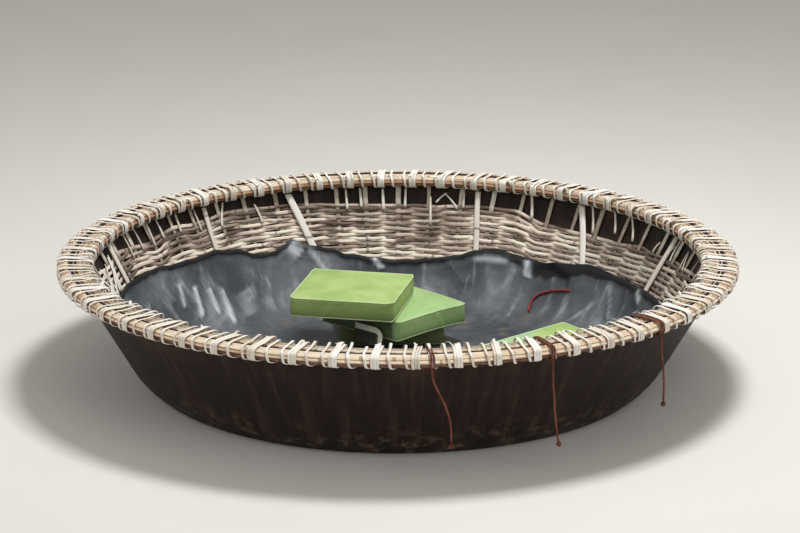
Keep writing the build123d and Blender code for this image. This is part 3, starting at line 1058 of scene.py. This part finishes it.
def placeLashing(bench, given, number, step):
    lap = step / given["Turn Points"]
    angle = lap * (2 * pi) - pi / 2
    loose = bench.random(number * 11 + whole(lap), given["Seed"], 0, 1) * given["Loose"]
    out = given["Gap"] + given["Thickness"] / 2 + loose
    acrossHalf = rimHalf + out
    upHalf = hoopHalf + out
    across = signedPower(cosine(angle), given["Squareness"])
    up = signedPower(sine(angle), given["Squareness"])
    sharp = 2 / given["Squareness"] - 1
    tilt = bench.random(number, given["Seed"] + 1, 0.4, 1.6) * given["Slant"]
    toNext = uprightStep * rimMiddle - given["Group Width"]
    onward = most(lap - given["Tight Turns"], 0) / given["Long Turns"] * toNext
    alongRim = (least(lap, given["Tight Turns"]) / given["Tight Turns"] - 0.5) * given["Group Width"]
    alongRim = alongRim + across * tilt + onward
    stray = bench.random(number * 23 + whole(lap), given["Seed"] + 5, -0.6, 1.6)
    proud = most(most(up - across - 1.05, 0) * given["Proud"] * stray, 0)
    radius = rimMiddle + acrossHalf * across - proud * 0.4
    bearing = (number + 0.5) * uprightStep + alongRim / rimMiddle
    outAcross = signedPower(across, sharp) / rimHalf
    outUp = signedPower(up, sharp) / hoopHalf
    return {
        "point": polar(bench, bearing, radius, hoopMiddle + upHalf * up + proud),
        "outward": bench.vector(outAcross * sine(bearing), outAcross * cosine(bearing), outUp),
        "swell": 0.85 + bench.random(number * 19 + whole(lap), given["Seed"] + 3) * 0.25,
        "tone": bench.random(number * 5 + whole(lap * 0.5), given["Seed"] + 4, 0.15, 1),
        "run": lap,
    }


caneLashings = growStrands("caneLashings", lashing, placeLashing, False, caneFinish)
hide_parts("rim_lashings")


# Loose tails of the lashing, on the inner edge of the rim

tails = {
    "Strands": hull["uprights"], "Points": 8, "Width": 0.0100, "Thickness": 0.0024, "Reach": 0.034,
    "Rise": 0.0085, "Seed": 53,
}


def placeTail(bench, given, number, step):
    share = step / (given["Points"] - 1)
    reach = given["Reach"] * bench.random(number, given["Seed"], 0.5, 1.1)
    side = bench.random(number, given["Seed"] + 1, -1, 1)
    bearing = (number + 0.5) * uprightStep + (side * 0.008 + side * share * reach) / innerInside
    radius = innerInside + 0.014 - share * reach * 0.55
    rise = bench.random(number, given["Seed"] + 2, 0.4, 1.2)
    height = hull["top"] + 0.0015 + sine(share * 2.5) * given["Rise"] * rise
    return {
        "point": polar(bench, bearing, radius, height),
        "outward": polar(bench, bearing, share * -0.7, 1),
        "swell": bench.random(number, given["Seed"] + 3, 0.7, 1.15) * (1 - share * 0.4),
        "tone": bench.random(number, given["Seed"] + 4, 0.6, 1),
        "run": share,
    }


growStrands("lashingTails", tails, placeTail, False, caneFinish)


# Rim ties: two turns of cord round both hoops above each tail

tieTurns = {"turns": 2, "pitch": 0.0082, "pointsPerTurn": 40, "squareness": 0.4}


def tieMesh():
    turns = bmesh.new()
    for name, spot, *_ in ties:
        path = []
        steps = tieTurns["turns"] * tieTurns["pointsPerTurn"]
        reach = cord["diameter"] / 2 + hull["fit"]
        for step in range(steps + 1):
            lap = step / tieTurns["pointsPerTurn"]
            angle = 2 * pi * lap - pi / 2
            across = copysign(abs(cos(angle)) ** tieTurns["squareness"], cos(angle))
            up = copysign(abs(sin(angle)) ** tieTurns["squareness"], sin(angle))
            bearing = spot * uprightStep + (lap - tieTurns["turns"] / 2) * tieTurns["pitch"] / rimMiddle
            radius = rimMiddle + (rimHalf + reach) * across
            path.append(pointAt(bearing, radius, hoopMiddle + (hoopHalf + reach) * up))
        turn = laidCord(name + "Turns", path, cord["diameter"] / 2, cord["strands"], cord["lay"], 12)
        turns.from_mesh(turn)
        bpy.data.meshes.remove(turn)
    mesh = bpy.data.meshes.new("rimTies")
    turns.to_mesh(mesh)
    turns.free()
    return mesh


rimTies = addPiece("rimTies", tieMesh(), cordFinish)
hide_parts("rim_ties")


# Liner: a plastic sheet over the floor and the lower wall, gathered into folds where the wall is

linerSheet = {
    "floorRings": 30, "wallRings": 72, "sectors": 400, "thickness": 0.0012, "cutRadius": 1.12,
    "roll": 0.005, "standOff": 0.009, "foldRise": 0.007, "lie": 0.0015, "sag": 0.0016,
    "wallStart": -0.03,
    "edge": (
        # bearing in degrees, height of the edge
        (-180, 0.262), (-150, 0.240), (-120, 0.275), (-95, 0.262), (-78, 0.284), (-64.1, 0.279),
        (-57.1, 0.267), (-50.5, 0.264), (-44.2, 0.270), (-38.9, 0.258), (-32.7, 0.228), (-29, 0.231),
        (-26.7, 0.246), (-24.7, 0.258), (-21, 0.234), (-15.4, 0.219), (-11.8, 0.197), (-4.2, 0.179),
        (-0.4, 0.173), (4.3, 0.176), (9.1, 0.182), (13.8, 0.194), (18.4, 0.216), (23.1, 0.228),
        (28.3, 0.216), (34.8, 0.206), (40.1, 0.216), (49.2, 0.234), (59.3, 0.225), (77.3, 0.225),
        (100, 0.262), (125, 0.245), (150, 0.278), (180, 0.262),
    ),
    "creases": (
        # bearing and height at its top, bearing and height at its foot, half width, rise, how pale it is
        # painted: mostly painted sheen, some wear
        (-72, 0.200, -76, 0.110, 0.014, 0.006, 0.5), (-64, 0.230, -62, 0.150, 0.012, 0.006, 0.4),
        (-58, 0.209, -60, 0.120, 0.013, 0.008, 0.7), (-53.7, 0.185, -56.7, 0.076, 0.014, 0.010, 0.9),
        (-49.8, 0.164, -50.8, 0.070, 0.012, 0.009, 0.85),
        (-46.2, 0.155, -48.8, 0.042, 0.013, 0.009, 0.8), (-40, 0.130, -42, 0.050, 0.055, 0.002, 0.40),
        (-52, 0.120, -52, 0.050, 0.070, 0.001, 0.34), (-36, 0.190, -38, 0.080, 0.012, 0.007, 0.35),
        (-25.2, 0.246, -22.6, 0.205, 0.030, 0.010, 0.85), (-21, 0.230, -16.5, 0.130, 0.012, 0.008, 0.7),
        (-9.6, 0.196, -9.0, 0.150, 0.008, -0.006, 0), (-6.1, 0.182, -3.4, 0.143, 0.012, 0.006, 1.0),
        (12, 0.180, 17, 0.100, 0.012, 0.007, 0.3), (17.5, 0.188, 27.5, 0.192, 0.016, 0.006, 0.62),
        (31.3, 0.206, 32.1, 0.146, 0.018, 0.004, 1.0), (57, 0.190, 62, 0.085, 0.014, 0.008, 0.45),
        (66.9, 0.214, 70.1, 0.180, 0.026, 0.009, 0.8), (84, 0.200, 82, 0.090, 0.014, 0.008, 0.4),
        (104, 0.230, 108, 0.100, 0.014, 0.009, 0.4), (131, 0.210, 127, 0.080, 0.014, 0.009, 0.4),
        (156, 0.240, 160, 0.110, 0.014, 0.009, 0.4), (-176, 0.230, -172, 0.090, 0.014, 0.009, 0.4),
        (-151, 0.200, -155, 0.100, 0.014, 0.009, 0.4), (-127, 0.240, -122, 0.090, 0.014, 0.009, 0.4),
        (-101, 0.220, -104, 0.100, 0.014, 0.008, 0.4),
    ),
    # How far down the black hem and its painted shadow show, by bearing in degrees
    "hemAndShadowBands": ((-180, 0.016), (10, 0.016), (22, 0.018), (29, 0.030), (33, 0.052), (40, 0.048), (50, 0.036),
             (58, 0.020), (180, 0.016)),
    # Where the string lies, and the sheet is drawn flat under it: middle bearing, height and reach
    "flatAt": (39.5, 0.104, 0.098),
}


def fromTable(table, degrees):
    for (before, low), (after, high) in zip(table, table[1:]):
        if before <= degrees <= after:
            share = (degrees - before) / (after - before)
            return low + (high - low) * share * share * (3 - 2 * share)
    return table[0][1]


def edgeHeight(degrees):
    return fromTable(linerSheet["edge"], degrees) + 0.003 * noise.noise(Vector((degrees * 0.35, 0, 0)))


# Length along a layer from the flat bottom to a height, on the bilge or the wall
def alongAt(height, depth):
    turnRadius = hull["bilgeRadius"] - depth
    onTurn = acos(max(-1, min(1, 1 - (height - depth) / turnRadius)))
    return turnRadius * onTurn if onTurn < bilgeTurn else lengthTo(height, depth)


# The creases as lines on the sheet laid out flat: round the boat, and up from the floor
creaseLines = []
for topBearing, topHeight, footBearing, footHeight, halfWidth, rise, worn in linerSheet["creases"]:
    ends = []
    for degrees, height in ((topBearing, topHeight), (footBearing, footHeight)):
        along = alongAt(height, hull["linerDepth"])
        ends.append(Vector((radians(degrees) * hullPath(along, hull["linerDepth"])[0], along)))
    creaseLines.append((*ends, halfWidth, rise, worn))


# Rise, and painted sheen with some wear, that the creases give a place on the sheet
def creaseAt(place):
    risen = 0
    creaseSheenAndWear = 0
    for top, foot, halfWidth, rise, worn in creaseLines:
        if abs(place.x - (top.x + foot.x) / 2) > 0.16:
            continue
        run = foot - top
        share = max(0, min(1, (place - top).dot(run) / run.length_squared))
        apart = (place - top - run * share).length / halfWidth
        fade = min(1, 6 * share + 0.3, 6 * (1 - share) + 0.1)
        risen += rise * fade * exp(-apart * apart / 3)
        creaseSheenAndWear = max(creaseSheenAndWear, worn * fade * exp(-apart * apart))
    return risen, creaseSheenAndWear


# How far a fold stands in from the wall, 0 to 1
def foldShare(bearing, along):
    wave = noise.noise(Vector((sin(bearing) * 7, cos(bearing) * 7, along * 2.0)))
    ridge = (1 - min(1, abs(wave) * 3.4)) ** 2
    fine = noise.noise(Vector((sin(bearing) * 23, cos(bearing) * 23, along * 4.5 + 9)))
    return ridge * 0.8 + (1 - min(1, abs(fine) * 3.2)) ** 2 * 0.35


# Share of the folds that is left where the string lies on the sheet
def flatShare(roundBoat, along):
    degrees, height, reach = linerSheet["flatAt"]
    middle = alongAt(height, hull["linerDepth"])
    radius = hullPath(middle, hull["linerDepth"])[0]
    apart = Vector((roundBoat - radians(degrees) * radius, along - middle)).length / reach
    return min(1, max(0, (apart - 1) * 3))


def linerMesh():
    corners = []
    folds = []
    hemAndShadowBands = []
    sectors = linerSheet["sectors"]
    floorRings, wallRings = linerSheet["floorRings"], linerSheet["wallRings"]
    rings = floorRings + wallRings
    wallStart = linerSheet["wallStart"]
    for ring in range(1, rings + 1):
        for sector in range(sectors):
            degrees = -180 + 360 * sector / sectors
            bearing = radians(degrees)
            reach = lengthTo(edgeHeight(degrees), hull["linerDepth"])
            if ring <= floorRings:
                along = -flatRadius + (flatRadius + wallStart) * ring / floorRings
            else:
                along = wallStart + (reach - wallStart) * (ring - floorRings) / wallRings
            radius, height, turned = hullPath(along, hull["linerDepth"])
            risen, creaseSheenAndWear = creaseAt(Vector((bearing * radius, along)))
            fold = foldShare(bearing, along)
            onWall = min(1, max(0, (along + 0.02) / 0.16))
            # Depth of the black hem and painted shadow here
            hem = fromTable(linerSheet["hemAndShadowBands"], degrees)
            hem *= 1 + 0.3 * noise.noise(Vector((degrees * 0.5, 4, 0)))
            fromEdge = (reach - along) / hem
            roll = linerSheet["roll"] * max(0, 1 - abs(fromEdge - 0.7))
            roll += linerSheet["standOff"] * max(0, 1 - fromEdge / 4)
            puff = onWall * onWall * (linerSheet["foldRise"] * fold + linerSheet["lie"])
            puff += max(-0.001, risen) * min(1, onWall * 3) + roll
            puff *= flatShare(bearing * radius, along)
            ripple = noise.noise(Vector((radius * sin(bearing) * 9, radius * cos(bearing) * 9, 2)))
            sag = (1 - onWall) * linerSheet["sag"] * (0.5 + ripple)
            inwards = inwardAt(bearing, turned) * (puff - sag - linerSheet["thickness"])
            corners.append(pointAt(bearing, radius, height) + inwards)
            # Fold ridges and creases carry painted sheen
            folds.append(max(fold * 0.42 * onWall, creaseSheenAndWear))
            hemAndShadowBands.append(max(0, min(1, (1.3 - fromEdge) * 4)) * (1 - creaseSheenAndWear))
    corners.append(Vector((0, 0, hull["linerDepth"] - 0.0016)))
    folds.append(0)
    hemAndShadowBands.append(0)
    faces = []
    for sector in range(sectors):
        after = (sector + 1) % sectors
        faces.append((len(corners) - 1, after, sector))
        for ring in range(rings - 1):
            low = ring * sectors
            faces.append((low + sector, low + after, low + sectors + after, low + sectors + sector))
    mesh = bpy.data.meshes.new("floorLiner")
    mesh.from_pydata(corners, [], faces)
    storeValues(mesh, "fold", folds)
    storeValues(mesh, "hem", hemAndShadowBands)
    return mesh


print("liner")
floorLiner = addPiece("floorLiner", linerMesh(), linerFinish)
thick = floorLiner.modifiers.new("thickness", "SOLIDIFY")
thick.thickness = linerSheet["thickness"]
thick.offset = 0
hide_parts("floor_liner")


# Seat pads: square vinyl cushions with a welted seam, puffed out by a cloth simulation

pad = {
    "side": 0.385, "thickness": 0.076, "corner": 0.026, "edge": 0.010, "cells": 34, "levels": 8,
    "shy": 0.0035, "pressure": 4.0, "frames": 20, "cap": 0.0042, "fill": 0.85, "pipingRadius": 0.0026,
    "pipingSides": 6,
    "creases": {"seatPad1": ((0.012, 0.034), (-0.048, -0.022)), "seatPad2": ((0.02, 0.03), (0.06, -0.03))},
    "droops": {"seatPad2": 0.014},
    "places": (
        # name, centre x, centre y, pads beneath, turn, side that is raised, lean
        ("seatPad1", -0.159, 0.301, 2, -12, 0, 0),
        ("seatPad2", -0.014, 0.363, 1, 48, 0, 0),
        ("seatPad3", flatRadius - 0.181, 0.006, 0, 30, 7, 6),
        ("seatPad4", -0.030, flatRadius - 0.213, 0, 3, 0, 0),
    ),
}


# A square with its corners rounded off, as where a point of the full square goes
def roundOff(across, up, halfAcross, halfUp, radius):
    overAcross = max(0, abs(across) - (halfAcross - radius))
    overUp = max(0, abs(up) - (halfUp - radius))
    reach = sqrt(overAcross ** 2 + overUp ** 2)
    if reach == 0:
        return across, up
    shrink = max(overAcross, overUp) / reach
    across -= (overAcross * (1 - shrink)) * (1 if across > 0 else -1)
    up -= (overUp * (1 - shrink)) * (1 if up > 0 else -1)
    return across, up


def padStart(name):
    work = bmesh.new()
    half = pad["side"] / 2 - pad["shy"]
    rise = pad["thickness"] / 2 - pad["shy"]
    places = {}

    def corner(i, j, k):
        if (i, j, k) not in places:
            x = (2 * i / pad["cells"] - 1) * half
            y = (2 * j / pad["cells"] - 1) * half
            z = (2 * k / pad["levels"] - 1) * rise
            x, y = roundOff(x, y, half, half, pad["corner"])
            inset = max(abs(x), abs(y))
            _, z = roundOff(inset, z, half, rise, pad["edge"])
            squeeze = roundOff(inset, z, half, rise, pad["edge"])[0] / inset if inset > 0 else 1
            places[i, j, k] = work.verts.new((x * squeeze, y * squeeze, z))
        return places[i, j, k]

    n, m = pad["cells"], pad["levels"]
    for i in range(n):
        for j in range(n):
            for k, flip in ((0, False), (m, True)):
                quad = [corner(i, j, k), corner(i, j + 1, k), corner(i + 1, j + 1, k), corner(i + 1, j, k)]
                work.faces.new(reversed(quad) if flip else quad)
    for i in range(n):
        for k in range(m):
            for far in (0, n):
                quad = [corner(i, far, k), corner(i + 1, far, k), corner(i + 1, far, k + 1),
                        corner(i, far, k + 1)]
                work.faces.new(quad if far == 0 else reversed(quad))
                quad = [corner(far, i, k), corner(far, i, k + 1), corner(far, i + 1, k + 1),
                        corner(far, i + 1, k)]
                work.faces.new(quad if far == 0 else reversed(quad))
    bmesh.ops.recalc_face_normals(work, faces=work.faces)
    work.verts.index_update()
    border = [(i, 0) for i in range(n)] + [(n, j) for j in range(n)]
    border += [(i, n) for i in range(n, 0, -1)] + [(0, j) for j in range(n, 0, -1)]
    seams = [[places[i, j, k].index for i, j in border] for k in (0, m)]
    mesh = bpy.data.meshes.new(name)
    work.to_mesh(mesh)
    work.free()
    return mesh, seams


# Joins piping to a pad: a closed tube along each of its two seams
def addPiping(mesh, seams):
    work = bmesh.new()
    work.from_mesh(mesh)
    # The piping's points are marked for the pale of scuffs and painted highlight
    worn = work.verts.layers.float.new("worn")
    work.verts.ensure_lookup_table()
    lines = [[work.verts[index].co.copy() for index in seam] for seam in seams]
    for line in lines:
        hoops = []
        for index, point in enumerate(line):
            ahead = line[(index + 1) % len(line)] - line[index - 1]
            across = ahead.cross(Vector((0, 0, 1))).normalized()
            hoop = []
            for side in range(pad["pipingSides"]):
                angle = 2 * pi * side / pad["pipingSides"]
                offset = across * cos(angle) + Vector((0, 0, sin(angle)))
                hoop.append(work.verts.new(point + offset * pad["pipingRadius"]))
                hoop[-1][worn] = 1
            hoops.append(hoop)
        for index, hoop in enumerate(hoops):
            after = hoops[(index + 1) % len(hoops)]
            for side in range(len(hoop)):
                beside = (side + 1) % len(hoop)
                work.faces.new((hoop[side], hoop[beside], after[beside], after[side]))
    bmesh.ops.recalc_face_normals(work, faces=work.faces)
    work.to_mesh(mesh)
    work.free()


# Small wrinkles, and a corner that hangs down where nothing is under it
def settlePad(name, mesh):
    half = pad["side"] / 2
    crease = pad["creases"].get(name)
    droop = pad["droops"].get(name, 0)
    for vertex in mesh.vertices:
        at = vertex.co
        if droop:
            corner = max(0, (at.x - at.y) / (2 * half) - 0.3) / 0.7
            at.z -= droop * corner * corner
        ripple = noise.noise(Vector((at.x * 16, at.y * 16, at.z * 22 + len(mesh.vertices)))) * 0.0012
        vertex.co = at + at.normalized() * ripple
        if crease and at.y < -half * 0.9:
            (topX, topZ), (lowX, lowZ) = crease
            share = max(0, min(1, (topZ - at.z) / (topZ - lowZ)))
            apart = (at.x - topX - (lowX - topX) * share) / 0.010
            vertex.co.y += 0.0055 * apart * exp(-apart * apart)


# Lets the pads puff out together, and moves no point further than the cap
def puffPads(pads):
    for piece in pads:
        cloth = piece.modifiers.new("cloth", "CLOTH")
        cloth.settings.use_pressure = True
        cloth.settings.uniform_pressure_force = pad["pressure"]
        cloth.settings.effector_weights.gravity = 0
        cloth.point_cache.frame_end = pad["frames"]
    for frameNumber in range(1, pad["frames"] + 1):
        scene.frame_set(frameNumber)
    depsgraph = bpy.context.evaluated_depsgraph_get()
    for piece in pads:
        puffed = piece.evaluated_get(depsgraph).data
        moved = [vertex.co.copy() for vertex in puffed.vertices]
        piece.modifiers.clear()
        for vertex, target in zip(piece.data.vertices, moved):
            step = target - vertex.co
            vertex.co += step * min(1, pad["cap"] / max(step.length, 1e-9))
    scene.frame_set(1)


def padPlane(centreX, centreY, beneath, turn, raisedSide, lean):
    turn, raisedSide, lean = radians(turn), radians(raisedSide), radians(lean)
    across = raisedSide - turn
    inset = pad["corner"] - pad["edge"]
    reach = (pad["side"] / 2 - pad["corner"]) * (abs(cos(across)) + abs(sin(across))) + inset
    level = hull["linerDepth"] + hull["fit"] + beneath * (pad["thickness"] + hull["fit"])
    up = Vector((-sin(lean) * cos(raisedSide), -sin(lean) * sin(raisedSide), cos(lean)))
    right = Vector((cos(turn), sin(turn), sin(lean) * cos(across))).normalized()
    right = (right - up * right.dot(up)).normalized()
    centre = Vector((centreX, centreY, level + reach * sin(lean))) + up * pad["thickness"] / 2
    return Matrix((right, up.cross(right), up)).transposed().to_4x4(), centre


print("seat pads")
pads = []
padSeams = []
for name, *at in pad["places"]:
    mesh, seams = padStart(name)
    pads.append(addPiece(name, mesh, padFinish[name]))
    padSeams.append(seams)
puffPads(pads)
for index, (piece, (name, *at)) in enumerate(zip(pads, pad["places"])):
    settlePad(name, piece.data)
    addPiping(piece.data, padSeams[index])
    piece.data.polygons.foreach_set("use_smooth", [True] * len(piece.data.polygons))
    turned, centre = padPlane(*at)
    piece.data.transform(Matrix.Translation(centre) @ turned)
    subdivide = piece.modifiers.new("smooth", "SUBSURF")
    subdivide.levels = subdivide.render_levels = 1
    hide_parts(f"seat_pad_{index + 1}")


# Flap: a torn piece of the second pad's cover that hangs down its near left side, painted near-black inside
# as shadow, and pale along its edge as painted highlight

flap = {
    "width": 0.130, "drop": 0.066, "thickness": 0.0012, "left": 0.0016, "top": 0.004, "off": 0.0055,
    "curl": 0.012, "edge": 0.021, "corner": 0.036, "across": 30, "down": 24,
}


def flapMesh():
    _, *at = pad["places"][1]
    turned, centre = padPlane(*at)
    corners = []
    faces = []
    edges = []
    for row in range(flap["down"] + 1):
        fallen = row / flap["down"]
        for column in range(flap["across"] + 1):
            share = column / flap["across"]
            ripple = 0.0014 * noise.noise(Vector((share * 3, fallen * 2, 7)))
            out = flap["off"] + flap["curl"] * fallen ** 2 * (0.4 + 0.6 * share) + ripple
            y = flap["left"] - flap["width"] * share
            z = flap["top"] - flap["drop"] * fallen
            overRight = max(0, flap["corner"] - (1 - share) * flap["width"])
            overTop = max(0, flap["corner"] - fallen * flap["drop"])
            reach = sqrt(overRight ** 2 + overTop ** 2)
            shrink = 1 - max(overRight, overTop) / reach if reach else 0
            y += overRight * shrink
            z -= overTop * shrink
            corners.append(turned @ Vector((-pad["side"] / 2 - out, y, z)) + centre)
            inside = min(fallen * flap["drop"], (1 - share) * flap["width"])
            # The edge band is marked for the painted highlight
            edges.append(1 if inside < flap["edge"] else 0)
    width = flap["across"] + 1
    for row in range(flap["down"]):
        for column in range(flap["across"]):
            low = row * width + column
            faces.append((low, low + width, low + width + 1, low + 1))
    mesh = meshFrom("padFlap", corners, faces)
    storeValues(mesh, "worn", edges)
    return mesh


# The flap's face is painted near-black shadow, its edge a painted highlight
flapFinish = finish("flapVinyl", paintVinyl(1, vinyl["paintedShadow"], piping=1, scuffAndHighlight="pale"))
padFlap = addPiece("padFlap", flapMesh(), flapFinish)
thick = padFlap.modifiers.new("thickness", "SOLIDIFY")
thick.thickness = flap["thickness"]


# Skin: the frame's own, with its tar; its torn edge shows below the outer hoop

for nodeName, material in (("outer_skin", tarFinish), ("floor_splits", splitFinish)):
    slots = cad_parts[nodeName].data.materials
    slots.clear()
    slots.append(material)

fringe = {"sectors": 900, "rows": 5, "hang": 0.026, "ragged": 0.014, "thickness": 0.0012, "start": 0.436}


def fringeMesh():
    corners = []
    faces = []
    for sector in range(fringe["sectors"]):
        bearing = 2 * pi * sector / fringe["sectors"]
        across = outwardsAt(bearing)
        scallop = abs(sin(bearing * hull["uprights"] / 2)) ** 0.6
        torn = noise.noise(across * 34) * 0.5 + noise.noise(across * 90) * 0.35
        hang = fringe["hang"] + fringe["ragged"] * (scallop - 0.5 + torn)
        for row in range(fringe["rows"]):
            share = row / (fringe["rows"] - 1)
            height = fringe["start"] - hang * share
            off = 0.0018 + 0.0035 * share * (0.6 + noise.noise(across * 40 + Vector((0, 0, share * 2))))
            corners.append(across * (wallRadius(height, 0) + off) + Vector((0, 0, height)))
    for sector in range(fringe["sectors"]):
        after = (sector + 1) % fringe["sectors"]
        for row in range(fringe["rows"] - 1):
            low, high = sector * fringe["rows"] + row, after * fringe["rows"] + row
            faces.append((low, low + 1, high + 1, high))
    mesh = bpy.data.meshes.new("skinFringe")
    mesh.from_pydata(corners, [], faces)
    return mesh


def paintFringe(bench):
    at = place(bench)
    tatter = bench.noise(at, 60, 4, 0.7)
    colour = bench.mix(bench.ease(tatter, 0.35, 0.7), (0.10, 0.040, 0.024), (0.32, 0.13, 0.075))
    return {"Base Color": colour, "Roughness": 0.75 + tatter * 0.15, "Normal": bump(bench, tatter, 0.002)}


print("skin")
fringeFinish = finish("skinFringe", paintFringe)
skinFringe = addPiece("skinFringe", fringeMesh(), fringeFinish)
thick = skinFringe.modifiers.new("thickness", "SOLIDIFY")
thick.thickness = fringe["thickness"]


# Stage: a pale floor at the waterline with the hull's hole in it, soft lamps and a pale world

def paintFloor(bench):
    at = place(bench)
    patch = bench.noise(at, 1.5, 3)
    colour = bench.mix(patch, (0.74, 0.72, 0.68), (0.78, 0.76, 0.72))
    return {"Base Color": colour, "Roughness": 0.85, "Specular IOR Level": 0.2}


def floorMesh(holeRadius, farRadius, sectors=192):
    corners = []
    for radius in (holeRadius, farRadius):
        for sector in range(sectors):
            angle = 2 * pi * sector / sectors
            corners.append((radius * cos(angle), radius * sin(angle), hull["waterline"]))
    faces = [(s, sectors + s, sectors + (s + 1) % sectors, (s + 1) % sectors) for s in range(sectors)]
    mesh = bpy.data.meshes.new("floor")
    mesh.from_pydata(corners, [], faces)
    return mesh


print("stage")
waterTurn = acos(1 - hull["waterline"] / hull["bilgeRadius"])
holeRadius = flatRadius + hull["bilgeRadius"] * sin(waterTurn) - 0.003
floor = bpy.data.objects.new("floor", floorMesh(holeRadius, 40))
floor.data.materials.append(finish("floor", paintFloor))
scene.collection.objects.link(floor)

lamps = (
    # name, place, size, power
    ("key", (0.9, 0.4, 5.2), 1.2, 215),
    ("fill", (2.6, -4.6, 3.4), 3.5, 60),
    ("side", (-4.5, -1.5, 2.6), 2.5, 30),
)
for name, at, side, power in lamps:
    lampData = bpy.data.lights.new(name, "AREA")
    lampData.size = side
    lampData.energy = power
    lamp = bpy.data.objects.new(name, lampData)
    lamp.location = at
    lamp.rotation_euler = (Vector(at) - Vector((0, 0, 0.2))).to_track_quat("Z", "Y").to_euler()
    scene.collection.objects.link(lamp)

world = bpy.data.worlds.new("world")
scene.world = world
world.use_nodes = True
world.node_tree.nodes.clear()
bench = Bench(world.node_tree)
rays = bench.node("ShaderNodeLightPath")
seen = most(most(rays.out("Is Camera Ray"), rays.out("Is Glossy Ray")), rays.out("Is Transmission Ray"))
sky = bench.node("ShaderNodeBackground", sockets={"Color": (0.80, 0.79, 0.76), "Strength": 0.45 + seen * 0.6})
bench.node("ShaderNodeOutputWorld", sockets={"Surface": sky})

scene.view_settings.view_transform = "Standard"
